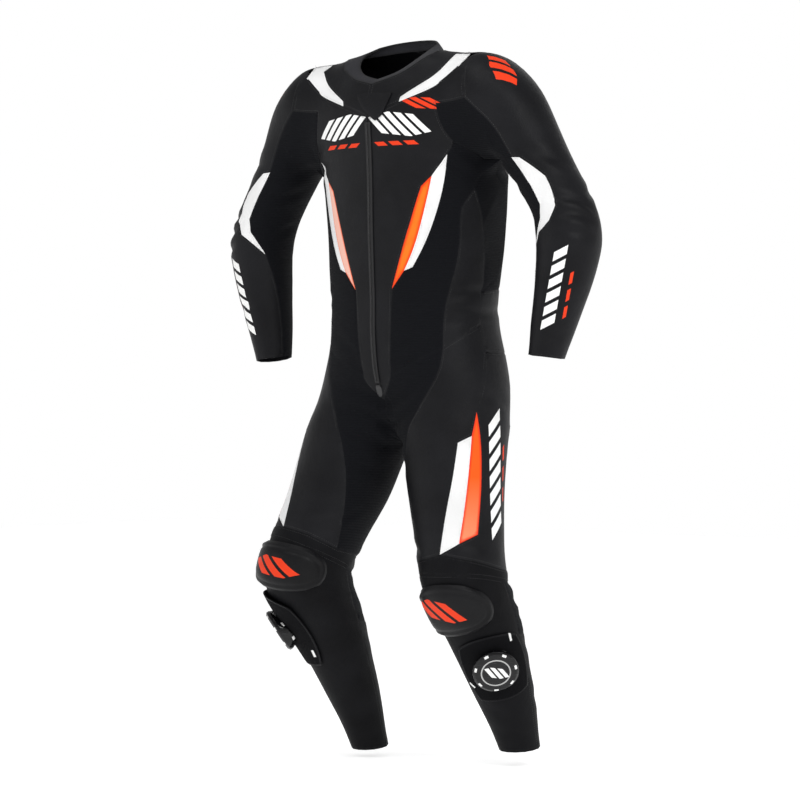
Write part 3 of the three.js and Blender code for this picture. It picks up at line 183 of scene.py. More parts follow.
def bars(shade, at, along, up, size, count, slant, taper=0.0):
    """Where slanted bars show: count of them in a box of size round a point of the panel."""
    away = Vector(along).cross(Vector(up)).normalized()
    place = shade.from_point(at)
    u, v, w = (
        shade.along(place, Vector(way).normalized() * 2 / extent)
        for way, extent in zip((along, up, away), size)
    )
    leaning = u + v * slant
    bar = ((leaning + 1.0) * (count / 2)).part().below(0.68)
    tall = abs(v).below(1.0 - taper * abs(leaning))
    return bar * tall * abs(leaning).below(1.0) * abs(w).below(1.0)


def leather(name, dark, light, worn, prints=(), gloss=0.42, shine=0.1):
    """Grain leather: fine cells, soft hollows, a duller and paler edge at the seams."""
    shade = Shade(name)
    broad = shade.noise(9.0, 3.0)
    seam = shade.near_seam()
    color = shade.mix(dark, light, broad.held(0.35, 0.7))
    rub = (1.0 - seam.held(0.1, 0.75)) * shade.noise(140.0, 4.0).held(0.42, 0.68)
    for at, along, up, size, count, slant, taper, paint in prints:
        shown = bars(shade, at, along, up, size, count, slant, taper)
        color = shade.mix(color, paint, shown)
    color = shade.mix(color, worn, rub * 0.18)
    grain = shade.cells(620.0) * 0.65 + shade.noise(1500.0, 3.0) * 0.35
    fine = shade.bump(grain, 0.0004)
    soft = shade.bump(shade.noise(24.0, 4.0), 0.0016, fine)
    roughness = gloss + 0.1 * shade.noise(60.0, 3.0) + 0.12 * rub
    return shade.finish(color, roughness, soft, {"Specular IOR Level": shine})


BLACK = (rgb(0.0058, 0.0058, 0.0068), rgb(0.0095, 0.0096, 0.0112), rgb(0.030, 0.030, 0.031))
WHITE_PAINT = rgb(0.84, 0.84, 0.83)
RED_PAINT = rgb(0.72, 0.045, 0.012)
plain_leather = leather("black_leather", *BLACK)
chest_across = (1.0, 0.0, 0.0)
chest_up = (0.0, 0.0, 1.0)
chest_leather = leather(
    "chest_leather",
    *BLACK,
    prints=[
        ((0.072, -0.14, -0.112), chest_across, chest_up, (0.112, 0.05, 0.2), 5, 0.45, 0.35,
         WHITE_PAINT),
        ((-0.072, -0.14, -0.112), chest_across, chest_up, (0.112, 0.05, 0.2), 5, -0.45, 0.35,
         WHITE_PAINT),
        ((0.068, -0.14, -0.149), chest_across, chest_up, (0.1, 0.008, 0.2), 3, 0.1, 0.0,
         RED_PAINT),
        ((-0.068, -0.14, -0.149), chest_across, chest_up, (0.1, 0.008, 0.2), 3, -0.1, 0.0,
         RED_PAINT),
        ((0.128, -0.13, -0.074), (0.93, 0.1, 0.30), chest_up, (0.072, 0.026, 0.2), 3, 0.6, 0.3,
         RED_PAINT),
    ],
)

# Sections of the body under the suit, in millimetres: height, middle, half width, half depth
trunk_rows = [
    (20, 0, -40, 120, 62),
    (-60, 0, -19, 190, 121),
    (-150, 0, -8, 199, 141),
    (-310, 0, 0, 187, 144),
    (-460, 0, -6, 178, 131),
    (-620, 0, 8, 180, 128),
    (-715, 0, 12, 100, 60),
]
arm_rows = [
    (-40, 233, -35, 83, 80),
    (-122, 275, -29, 81, 76),
    (-200, 325, -25, 72, 68),
    (-300, 385, -22, 65, 66),
    (-350, 394, -23, 63, 66),
    (-450, 377, -28, 53, 56),
    (-600, 342, -38, 33, 35),
]
left_leg_rows = [
    (-600, 93, 6, 98, 112),
    (-710, 102, -6, 103, 112),
    (-850, 118, -20, 91, 98),
    (-962, 134, -27, 85, 89),
    (-1018, 139, -18, 84, 94),
    (-1130, 142, 46, 73, 83),
    (-1242, 142, 105, 58, 66),
    (-1395, 142, 173, 38, 41),
]
right_leg_rows = [
    (-600, -96, 2, 104, 110),
    (-710, -120, -29, 106, 114),
    (-850, -158, -59, 100, 108),
    (-962, -192, -99, 90, 100),
    (-1004, -199, -107, 87, 97),
    (-1074, -203, -64, 82, 98),
    (-1242, -201, 37, 56, 62),
    (-1395, -198, 108, 36, 39),
]
limbs = {
    "trunk": np.array(trunk_rows, float),
    "arm_L": np.array(arm_rows, float),
    "arm_R": np.array(arm_rows, float) * (1, -1, 1, 1, 1),
    "leg_L": np.array(left_leg_rows, float),
    "leg_R": np.array(right_leg_rows, float),
}

# The main creases. Each runs over a limb between two places, given by degrees round it from
# the front towards the wearer's left and by height in millimetres, with a bow, half width
# and depth in millimetres; a depth under 0 is a ridge.
creases = [
    ("arm_L", 24, -266, 96, -288, 7, 8, 3.4),
    ("arm_L", 22, -296, 88, -312, 8, 9, 3.8),
    ("arm_L", 26, -332, 78, -346, 6, 7, 2.6),
    ("arm_L", -72, -318, -118, -300, 6, 8, 2.6),
    ("arm_L", -76, -350, -128, -346, -5, 8, 2.2),
    ("arm_L", 96, -262, 170, -246, 6, 9, 2.2),
    ("arm_L", 20, -160, 100, -196, -9, 11, 2.4),
    ("arm_L", -80, -176, -10, -214, 8, 10, 3.2),
    ("arm_L", -90, -226, -30, -250, 6, 8, 2.4),
    ("arm_L", 150, -400, 220, -422, 5, 9, 2.0),
    ("arm_L", -20, -440, 60, -462, -6, 9, 1.6),
    ("arm_L", 20, -520, 96, -534, 4, 8, 1.6),
    ("arm_R", -24, -262, -94, -284, 7, 8, 3.2),
    ("arm_R", -22, -292, -86, -306, 8, 9, 3.6),
    ("arm_R", -26, -330, -74, -342, 5, 7, 2.4),
    ("arm_R", 72, -310, 116, -296, 7, 8, 2.6),
    ("arm_R", 76, -344, 126, -352, -4, 8, 2.2),
    ("arm_R", -100, -256, -168, -250, 6, 9, 2.2),
    ("arm_R", 84, -172, 14, -206, 8, 10, 3.0),
    ("arm_R", 90, -222, 26, -238, 5, 8, 2.4),
    ("arm_R", -14, -168, -94, -186, -8, 11, 2.2),
    ("arm_R", -150, -404, -214, -418, 5, 9, 2.0),
    ("arm_R", 18, -452, -58, -470, -6, 9, 1.6),
    ("trunk", 50, -146, 78, -196, 6, 10, 3.4),
    ("trunk", 44, -178, 82, -232, 5, 9, 2.8),
    ("trunk", -50, -140, -78, -192, -6, 10, 3.2),
    ("trunk", -46, -176, -80, -226, -5, 9, 2.6),
    ("trunk", 124, -150, 98, -214, 5, 11, 3.0),
    ("trunk", -124, -154, -100, -206, -5, 11, 3.0),
    ("trunk", 58, -452, 104, -438, 7, 9, 3.4),
    ("trunk", 62, -478, 118, -470, -6, 8, 3.0),
    ("trunk", 52, -500, 96, -506, 5, 7, 2.2),
    ("trunk", -56, -446, -100, -434, 7, 9, 3.0),
    ("trunk", -60, -474, -112, -470, -6, 8, 2.8),
    ("trunk", 18, -566, 44, -522, 5, 8, 2.4),
    ("trunk", -18, -570, -46, -520, -5, 8, 2.4),
    ("trunk", 12, -596, 40, -560, 4, 7, 2.2),
    ("trunk", -12, -600, -38, -558, -4, 7, 2.2),
    ("trunk", 140, -420, 176, -432, -5, 9, 2.6),
    ("trunk", -140, -424, -172, -436, -5, 9, 2.4),
    ("trunk", 150, -460, 205, -466, 7, 9, 2.8),
    ("trunk", 132, -496, 170, -512, -6, 9, 2.4),
    ("trunk", -134, -500, -168, -508, -6, 9, 2.2),
    ("trunk", 146, -300, 170, -352, 6, 12, 1.8),
    ("trunk", -148, -296, -168, -346, -6, 12, 1.8),
    ("trunk", 28, -236, 34, -330, 5, 14, 1.4),
    ("leg_L", -62, -664, 6, -622, -9, 10, 3.6),
    ("leg_L", -70, -702, -4, -668, -9, 9, 3.2),
    ("leg_L", -76, -744, -24, -716, -7, 9, 2.6),
    ("leg_L", -84, -792, -40, -776, -6, 10, 2.2),
    ("leg_L", 66, -640, 118, -664, 7, 10, 2.4),
    ("leg_L", 142, -736, 214, -748, 9, 10, 3.2),
    ("leg_L", 138, -772, 208, -764, -7, 9, 2.4),
    ("leg_L", 30, -930, 88, -948, 6, 10, 2.0),
    ("leg_L", -70, -936, -22, -958, 5, 9, 2.2),
    ("leg_L", 120, -1010, 232, -1020, 12, 9, 4.2),
    ("leg_L", 126, -1042, 226, -1046, -8, 8, 4.0),
    ("leg_L", 134, -1076, 218, -1068, 7, 8, 3.4),
    ("leg_L", 92, -1120, 150, -1146, 6, 11, 1.5),
    ("leg_L", -110, -1128, -70, -1158, 6, 10, 1.2),
    ("leg_L", -30, -1262, 40, -1282, 6, 11, 1.0),
    ("leg_L", 100, -1240, 176, -1262, 7, 11, 1.3),
    ("leg_L", -20, -1312, 66, -1324, 5, 10, 0.9),
    ("leg_R", 64, -668, -4, -624, -9, 10, 3.4),
    ("leg_R", 72, -706, 6, -676, -9, 9, 3.2),
    ("leg_R", 80, -752, 26, -728, -7, 9, 2.6),
    ("leg_R", 84, -806, 44, -782, -6, 10, 2.4),
    ("leg_R", -70, -636, -120, -658, 7, 10, 2.4),
    ("leg_R", -140, -740, -212, -752, 9, 10, 3.2),
    ("leg_R", -136, -778, -204, -770, -7, 9, 2.4),
    ("leg_R", 74, -872, 20, -892, 6, 9, 2.4),
    ("leg_R", -30, -884, -84, -902, 6, 10, 2.0),
    ("leg_R", -118, -962, -236, -968, 12, 9, 4.2),
    ("leg_R", -124, -994, -228, -1000, -8, 8, 4.0),
    ("leg_R", -132, -1028, -220, -1022, 7, 8, 3.4),
    ("leg_R", 92, -1060, 148, -1092, 7, 11, 1.8),
    ("leg_R", 84, -1104, 140, -1132, 6, 11, 1.5),
    ("leg_R", 60, -1206, 108, -1232, 5, 11, 1.2),
    ("leg_R", -100, -1200, -176, -1224, 7, 11, 1.4),
    ("leg_R", 76, -1286, 10, -1306, 5, 11, 1.0),
    ("leg_R", 44, -1246, -12, -1266, 5, 11, 0.9),
]


def shares_of(limb, points):
    """Degrees round a limb, distance from its middle and its radius there, for points in mm."""
    rows = limbs[limb]
    z, x, y, wide, deep = (
        np.interp(-points[:, 2], -rows[:, 0], rows[:, k]) for k in range(5)
    )
    across, ahead = points[:, 0] - x, -(points[:, 1] - y)
    degrees = np.degrees(np.arctan2(across, ahead))
    return degrees, np.hypot(across / wide, ahead / deep), (wide + deep) / 2


def crease_depth(points):
    """How far the creases push each point in, in millimetres."""
    depth = np.zeros(len(points))
    measured = {limb: shares_of(limb, points) for limb in limbs}
    for limb, from_deg, from_z, to_deg, to_z, bow, half, deep in creases:
        degrees, share, radius = measured[limb]
        middle = (from_deg + to_deg) / 2
        turned = (degrees - middle + 180) % 360 - 180
        round_mm = np.radians(turned) * radius
        near = np.abs(points[:, 2] - (from_z + to_z) / 2) < abs(from_z - to_z) / 2 + 50
        if not near.any():
            continue
        reach = float(radius[near].mean())
        start = np.array([math.radians(from_deg - middle) * reach, from_z])
        end = np.array([math.radians(to_deg - middle) * reach, to_z])
        long = np.linalg.norm(end - start)
        way = (end - start) / long
        place = np.stack([round_mm, points[:, 2]], axis=1) - start
        t = np.clip(place @ way / long, 0, 1)
        side = place @ np.array([-way[1], way[0]]) - bow * 4 * t * (1 - t)
        over = np.maximum(np.abs(place @ way - long / 2) - long / 2, 0)
        off = np.hypot(side, over)
        trough = np.exp(-((off / half) ** 2)) - 0.45 * np.exp(-(((off - 1.9 * half) / half) ** 2))
        fade = np.sqrt(np.sin(np.pi * np.clip(t, 0.02, 0.98)))
        depth += np.where((share < 1.45) & near, deep * trough * fade, 0)
    return depth


def limb_of(name):
    """The limb that a piece lies on, by its name."""
    side = name[-1]
    if name.startswith(("sleeve", "elbow")):
        return "arm_" + side
    leg = ("thigh", "knee", "shin", "calf", "slider", "crotch")
    return "leg_" + side if name.startswith(leg) else "trunk"


def tree_of(points):
    """A search tree over points, by their place in the list."""
    points = list(points)
    tree = KDTree(len(points))
    for i, point in enumerate(points):
        tree.insert(point, i)
    tree.balance()
    return tree


def outer_sheet(node):
    """The outer side of a wall's solid, with its pairs of triangles joined, as a bmesh."""
    form = bmesh.new()
    form.from_mesh(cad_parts[node].data)
    bmesh.ops.remove_doubles(form, verts=form.verts, dist=2e-5)
    bmesh.ops.recalc_face_normals(form, faces=form.faces)
    form.faces.ensure_lookup_table()
    grouped = set()
    groups = []
    for seed in form.faces:
        if seed in grouped:
            continue
        members = [seed]
        grouped.add(seed)
        for face in members:
            for edge in face.edges:
                if len(edge.link_faces) != 2 or edge.calc_face_angle() > sharp_fold:
                    continue
                for other in edge.link_faces:
                    if other not in grouped:
                        grouped.add(other)
                        members.append(other)
        groups.append(members)
    groups.sort(key=lambda members: -sum(face.calc_area() for face in members))
    limb = limb_of(node)
    rows = limbs[limb]

    def outward(members):
        """How much of a side's area faces away from the limb's middle."""
        total = 0.0
        for face in members:
            middle = face.calc_center_median()
            z = middle.z * 1000
            x = np.interp(-z, -rows[:, 0], rows[:, 1]) / 1000
            y = np.interp(-z, -rows[:, 0], rows[:, 2]) / 1000
            top = rows[0, 0] / 1000 - 0.06
            away = Vector((middle.x - x, middle.y - y, max(middle.z - top, 0)))
            total += face.normal.dot(away) * face.calc_area()
        return total

    kept = set(max(groups[:2], key=outward))
    bmesh.ops.delete(form, geom=[f for f in form.faces if f not in kept], context="FACES")
    bmesh.ops.join_triangles(
        form, faces=form.faces, angle_face_threshold=0.9, angle_shape_threshold=1.2
    )
    return form


# The outer side of every piece of cloth, and the points of all the panels' edges
sharp_fold = 0.95
cloth_nodes = [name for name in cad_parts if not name.startswith("knee_slider")]
sheets = {name: outer_sheet(name) for name in cloth_nodes}
on_panels = ("neck_flap", "front_zip", "zip_tab", "knee_pad", "slider_patch")
panels = [name for name in cloth_nodes if not name.startswith(on_panels)]
edge_points = [
    (vert.co.copy(), k)
    for k, name in enumerate(panels)
    for vert in sheets[name].verts
    if vert.is_boundary
]
edge_tree = tree_of(co for co, _ in edge_points)


def meeting(co):
    """How many panels meet at a place."""
    found = {edge_points[i][1] for _, i, _ in edge_tree.find_range(co, 0.0011)}
    return len(found)


def turns(vert):
    """Whether a panel's edge turns a corner here."""
    ways = [e.other_vert(vert).co - vert.co for e in vert.link_edges if e.is_boundary]
    return len(ways) == 2 and ways[0].angle(-ways[1], 0) > 0.38


# The flat cut of each panel before it was sewn: width, length and area, in metres
cuts = {
    "front_leather": (0.215, 0.675, 0.0570),
    "collar_band": (0.034, 0.460, 0.0145),
    "yoke": (0.190, 0.290, 0.0320),
    "shoulder_stripe": (0.050, 0.160, 0.0044),
    "torso_white": (0.045, 0.240, 0.0050),
    "torso_orange": (0.035, 0.235, 0.0044),
    "belly_stretch": (0.200, 0.460, 0.0370),
    "side_stretch": (0.150, 0.265, 0.0200),
    "crotch_stretch": (0.300, 0.450, 0.0620),
    "lumbar_stretch": (0.540, 0.280, 0.0780),
    "back_upper": (0.500, 0.350, 0.1290),
    "flank_leather": (0.090, 0.315, 0.0190),
    "hip_side": (0.155, 0.135, 0.0190),
    "seat": (0.190, 0.300, 0.0340),
    "sleeve_outer": (0.420, 0.660, 0.1660),
    "sleeve_inner": (0.190, 0.540, 0.0565),
    "elbow_stripe": (0.055, 0.175, 0.0050),
    "thigh_front": (0.260, 0.465, 0.0510),
    "thigh_side": (0.310, 0.440, 0.0650),
    "thigh_white": (0.065, 0.235, 0.0072),
    "thigh_orange": (0.050, 0.260, 0.0068),
    "thigh_back": (0.180, 0.320, 0.0360),
    "knee_band": (0.045, 0.560, 0.0170),
    "knee_back": (0.230, 0.150, 0.0250),
    "shin": (0.330, 0.500, 0.1080),
    "calf": (0.190, 0.290, 0.0420),
    "neck_flap": (0.095, 0.058, 0.0032),
    "front_zip": (0.0145, 0.515, 0.0072),
    "slider_patch": (0.160, 0.190, 0.0235),
}
lies_on = {
    "neck_flap": ["collar_band", "front_zip"],
    "front_zip": ["front_leather_L", "front_leather_R"],
    "slider_patch_L": ["shin_L"],
    "slider_patch_R": ["shin_R"],
}


def sewn_to(node):
    """The panels that a panel's edge meets, or what it lies on."""
    if node in lies_on:
        return lies_on[node]
    found = {
        panels[edge_points[i][1]]
        for vert in sheets[node].verts
        if vert.is_boundary
        for _, i, _ in edge_tree.find_range(vert.co, 0.0015)
    }
    return sorted(found - {node})


made_pieces = {}


def evaluated(obj, name):
    """The object's mesh with its modifiers applied."""
    graph = bpy.context.evaluated_depsgraph_get()
    mesh = bpy.data.meshes.new_from_object(obj.evaluated_get(graph))
    mesh.name = name
    return mesh


def cloth(node, material, wall=0.0018, shape=None, creased=True, roll=0.0009, closing=0.00022):
    """A panel of cloth on its solid's form: smoothed, creased, rolled under at the seams."""
    form = sheets[node]
    pin = form.verts.layers.float.new("crease_vert")
    edge_crease = form.edges.layers.float.new("crease_edge")
    for vert in form.verts:
        # Corners, and places where three panels meet, are kept still to keep the seams closed
        if vert.is_boundary and (turns(vert) or meeting(vert.co) > 2):
            vert[pin] = 1.0
    for edge in form.edges:
        if edge.is_boundary:
            edge[edge_crease] = 1.0
    base = bpy.data.meshes.new(node + "_base")
    form.to_mesh(base)
    obj = bpy.data.objects.new("suit_" + node, base)
    bpy.context.scene.collection.objects.link(obj)
    smooth = obj.modifiers.new("smooth", "SUBSURF")
    smooth.levels = smooth.render_levels = 2
    smooth.boundary_smooth = "PRESERVE_CORNERS"
    fine = evaluated(obj, node)
    obj.modifiers.clear()
    obj.data = fine
    bpy.data.meshes.remove(base)

    count = len(fine.vertices)
    co = np.zeros(count * 3)
    fine.vertices.foreach_get("co", co)
    co = co.reshape(-1, 3)
    normal = np.array([v.vector for v in fine.vertex_normals])
    walked = set()
    for polygon in fine.polygons:
        ring = list(polygon.vertices)
        walked.update(zip(ring, ring[1:] + ring[:1]))
    border = [(a, b) for a, b in sorted(walked) if (b, a) not in walked]
    rim = sorted({i for key in border for i in key})
    rim_tree = tree_of(co[i] for i in rim)
    edge = np.array([rim_tree.find(point)[2] for point in co])
    # The panels' edges are brought together, so that no light comes through a seam
    before, after = {b: a for a, b in border}, dict(border)
    for i in sorted(before.keys() & after.keys()):
        out = np.cross(co[after[i]] - co[before[i]], normal[i])
        if np.linalg.norm(out) > 1e-9:
            co[i] += out * closing / np.linalg.norm(out)
    shift = -roll * np.exp(-((edge / 0.0028) ** 2))
    if creased:
        shift -= crease_depth(co * 1000) / 1000
    if shape:
        shift += shape(edge)
    co += normal * shift[:, None]
    fine.vertices.foreach_set("co", co.ravel())
    fine.update()
    seam = fine.attributes.new("seam", "FLOAT", "POINT")
    seam.data.foreach_set("value", np.minimum(edge / 0.012, 1).astype(np.float32))
    made_pieces[node] = (co, normal, border)

    shell = obj.modifiers.new("wall", "SOLIDIFY")
    shell.thickness = wall
    shell.offset = -1
    thick = evaluated(obj, node)
    obj.modifiers.clear()
    obj.data = thick
    bpy.data.meshes.remove(fine)
    thick.materials.clear()
    thick.materials.append(material)
    thick.shade_smooth()
    obj.data.set_sharp_from_angle(angle=1.1)
    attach(obj, "root")
    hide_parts(node)
    cut = cuts.get(node.removesuffix("_L").removesuffix("_R"))
    if cut:
        sewn_to(node)
    return obj


for side in "LR":
    cloth("front_leather_" + side, chest_leather)

# Collar
# A soft band of closed-cell rubber faced with knit, sewn round the neck in one ring.
soft = Shade("soft_band")
band_weave = soft.noise(1.0, 2.0, soft.stretched((1300.0, 1300.0, 2600.0)))
band_color = soft.mix(rgb(0.016, 0.016, 0.019), rgb(0.024, 0.024, 0.028), soft.noise(24.0, 3.0))
# Within about 5 mm of the band's edges the colour darkens to near black: painted shade where the
# band meets its neighbours and turns in at the neck.
band_color = soft.mix(rgb(0.012, 0.012, 0.013), band_color, soft.near_seam().held(0.0, 0.4))
soft_band = soft.finish(
    band_color,
    0.62 + 0.1 * soft.noise(90.0),
    soft.bump(band_weave, 0.0004),
    {"Sheen Weight": 0.04, "Specular IOR Level": 0.12},
)
cloth("collar_band", soft_band, wall=0.0038, creased=False, closing=0.0012)

# Yoke and shoulder stripes
# Smooth leather from the collar to the shoulder seams, edged with a bent white stripe that
# is cut out of white leather and let in between the panels.
white_leather = leather(
    "white_leather", rgb(0.71, 0.71, 0.71), rgb(0.79, 0.79, 0.79), rgb(0.50, 0.49, 0.47), gloss=0.36
)
for side in "LR":
    cloth("yoke_" + side, plain_leather)
    cloth("shoulder_stripe_" + side, white_leather)

# Torso stripes
# A white stripe and a narrower orange one each side of the front, let in side by side.
def dyed(shade, color):
    """Smooth leather dyed right through."""
    grain = shade.cells(620.0) * 0.65 + shade.noise(1500.0, 3.0) * 0.35
    roughness = 0.36 + 0.1 * shade.noise(60.0)
    return shade.finish(color, roughness, shade.bump(grain, 0.0004), {"Specular IOR Level": 0.12})


orange_lit = Shade("orange_leather")
# The left orange stripe is painted bright orange in its middle and darker red within about 7 mm of
# its edges: a painted highlight, with painted shade at the seams. The darker red patches from noise
# are stains.
orange_highlight_share = orange_lit.near_seam().held(0.12, 0.6)
orange_highlit_color = orange_lit.mix(rgb(0.78, 0.045, 0.006), rgb(0.95, 0.17, 0.012), orange_highlight_share)
orange_stain = orange_lit.noise(40.0, 3.0).held(0.55, 0.9) * 0.4
orange_leather = dyed(orange_lit, orange_lit.mix(orange_highlit_color, rgb(0.70, 0.05, 0.01), orange_stain))
pale = Shade("orange_leather_painted_highlight")
# The right orange stripe is painted pale pink everywhere except a rim about 3 mm wide along its
# edges, where it stays orange: a painted highlight over the same orange leather as the left stripe.
orange_sheen_share = pale.near_seam().held(0.05, 0.3)
sheened_orange_leather = dyed(pale, pale.mix(rgb(0.80, 0.12, 0.04), rgb(0.82, 0.46, 0.37), orange_sheen_share))
for side, orange in (("L", orange_leather), ("R", sheened_orange_leather)):
    cloth("torso_white_" + side, white_leather)
    cloth("torso_orange_" + side, orange)

# Stretch panels of the trunk
# Ribbed two-way stretch cloth at the belly, sides, lumbar and crotch, sewn to the leather.
ribbed = Shade("stretch_cloth")
rib = ribbed.along(ribbed.place, (0.0, 0.0, 1.0)) * 310.0
rib_wave = ribbed.node("ShaderNodeMath", {"operation": "SINE"}, [rib * 6.2832]) * 0.5 + 0.5
weave = ribbed.noise(1.0, 2.0, ribbed.stretched((1900.0, 1900.0, 900.0)))
# The colour follows the ribs' height and is darker in the grooves between them: painted shade. The
# weave's random tone is mixed in as well.
cloth_color = ribbed.mix(
    rgb(0.0022, 0.0024, 0.0034), rgb(0.0056, 0.0060, 0.0078), rib_wave * 0.5 + weave * 0.5
)
cloth_color = ribbed.mix(
    cloth_color, rgb(0.016, 0.016, 0.018), (1.0 - ribbed.near_seam().held(0.0, 0.5)) * 0.08
)
stretch_cloth = ribbed.finish(
    cloth_color,
    0.78 + 0.12 * ribbed.noise(200.0),
    ribbed.bump(weave, 0.0003, ribbed.bump(rib_wave, 0.0004)),
    {"Sheen Weight": 0.02, "Sheen Roughness": 0.5, "Specular IOR Level": 0.08},
)
for side in "LR":
    cloth("belly_stretch_" + side, stretch_cloth)
    cloth("side_stretch_" + side, stretch_cloth)
    cloth("crotch_stretch_" + side, stretch_cloth)
cloth("lumbar_stretch", stretch_cloth)

# Back, flanks, hips and seat
# Smooth leather panels between the stretch ones, each with its edge turned and topstitched.
cloth("back_upper", plain_leather)
for side in "LR":
    cloth("flank_leather_" + side, plain_leather)
    cloth("hip_side_" + side, plain_leather)
    cloth("seat_" + side, plain_leather)

# Sleeves
# The outer sleeve is one leather panel from the shoulder to the cuff; the inner one is
# stretch cloth up into the armpit, and a white chevron is let in at the elbow.
for side, sign in (("L", 1), ("R", -1)):
    forearm_along = (-0.22 * sign, 0.0, -0.97)
    forearm_up = (0.80 * sign, 0.57, -0.18)
    shoulder_along = (0.8 * sign, -0.1, -0.59)
    shoulder_up = (0.0, -0.9, 0.42)
    sleeve_leather = leather(
        "sleeve_leather_" + side,
        *BLACK,
        prints=[
            ((0.392 * sign, -0.072, -0.440), forearm_along, forearm_up,
             (0.160, 0.024, 0.07), 6, 0.12, 0.0, WHITE_PAINT),
            ((0.410 * sign, -0.052, -0.455), forearm_along, forearm_up,
             (0.100, 0.006, 0.07), 3, 0.05, 0.0, RED_PAINT),
            ((0.268 * sign, -0.075, -0.020), shoulder_along, shoulder_up,
             (0.075, 0.040, 0.09), 3, 0.5, 0.35, RED_PAINT),
        ],
    )
    cloth("sleeve_outer_" + side, sleeve_leather)
    cloth("sleeve_inner_" + side, stretch_cloth)
    cloth("elbow_stripe_" + side, white_leather)

# Thighs
# Leather at the front, side and back, with a white and an orange panel let in on the side.
orange_low_pale = Shade("orange_leather_paler_low")
# The thigh's orange is paler lower down, from 0.80 m to 0.96 m below the origin. It is also painted
# darker red within about 6 mm of its edges: painted shade at the seams.
height = orange_low_pale.along(orange_low_pale.place, (0.0, 0.0, 1.0))
fade = (-1.0 * height).held(0.80, 0.96)
orange_low_pale_color = orange_low_pale.mix(rgb(0.90, 0.10, 0.008), rgb(0.90, 0.30, 0.16), fade)
orange_edge_shade = 1.0 - orange_low_pale.near_seam().held(0.1, 0.5)
orange_side_leather = dyed(orange_low_pale, orange_low_pale.mix(orange_low_pale_color, rgb(0.74, 0.035, 0.008), orange_edge_shade))
thigh_print = leather(
    "thigh_leather",
    *BLACK,
    prints=[
        ((0.206, -0.010, -0.800), (0.0, 0.0, -1.0), (0.35, 0.93, 0.0),
         (0.235, 0.034, 0.05), 7, 0.14, 0.0, WHITE_PAINT),
        ((0.213, 0.018, -0.800), (0.0, 0.0, -1.0), (0.35, 0.93, 0.0),
         (0.120, 0.006, 0.03), 3, 0.05, 0.0, RED_PAINT),
        ((-0.245, -0.020, -0.800), (0.0, 0.0, -1.0), (-0.35, 0.93, 0.0),
         (0.235, 0.034, 0.05), 7, 0.14, 0.0, WHITE_PAINT),
    ],
)
for side in "LR":
    cloth("thigh_front_" + side, plain_leather)
    cloth("thigh_side_" + side, thigh_print)
    cloth("thigh_white_" + side, white_leather)
    cloth("thigh_orange_" + side, orange_side_leather)
    cloth("thigh_back_" + side, plain_leather)

# Knees and lower legs
# A leather band over each knee, stretch cloth in the bend, leather shins and calves open
# at the hem.
lower_leather = leather(
    "lower_leg_leather",
    rgb(0.0044, 0.0044, 0.0050),
    rgb(0.0074, 0.0075, 0.0086),
    rgb(0.024, 0.024, 0.025),
    gloss=0.5,
    shine=0.05,
)
for side in "LR":
    cloth("knee_band_" + side, lower_leather)
    cloth("knee_back_" + side, stretch_cloth)
    cloth("shin_" + side, lower_leather)
    cloth("calf_" + side, lower_leather)

# Throat flap
# A pointed flap of leather over the top of the zip, sewn along its upper edge.
cloth("neck_flap", plain_leather, wall=0.0024, creased=False, roll=0.0006)

# Stitches
# Thread in a row 4 mm inside the edge of each leather panel, about 5 mm a stitch.
def thread(name, low_color, high_color):
    """Twisted sewing thread."""
    shade = Shade(name)
    color = shade.mix(low_color, high_color, shade.noise(900.0, 2.0))
    twist = shade.noise(1.0, 2.0, shade.stretched((2600.0, 2600.0, 2600.0)))
    return shade.finish(color, 0.5 + 0.1 * twist, shade.bump(twist, 0.0002))


def stitch_mesh(material):
    """One stitch along X: a four-sided lens, 3.4 mm long and 0.9 mm thick."""
    half, thick = 0.0017, 0.00045
    ring = [(0, thick * math.cos(a), thick * math.sin(a)) for a in np.arange(4) * math.pi / 2]
    verts = [(-half, 0, 0), *ring, (half, 0, 0)]
    faces = [(0, 1 + (i + 1) % 4, 1 + i) for i in range(4)]
    faces += [(5, 1 + i, 1 + (i + 1) % 4) for i in range(4)]
    mesh = bpy.data.meshes.new("stitch")
    mesh.from_pydata(verts, [], faces)
    mesh.materials.append(material)
    return bpy.data.objects.new("stitch", mesh)


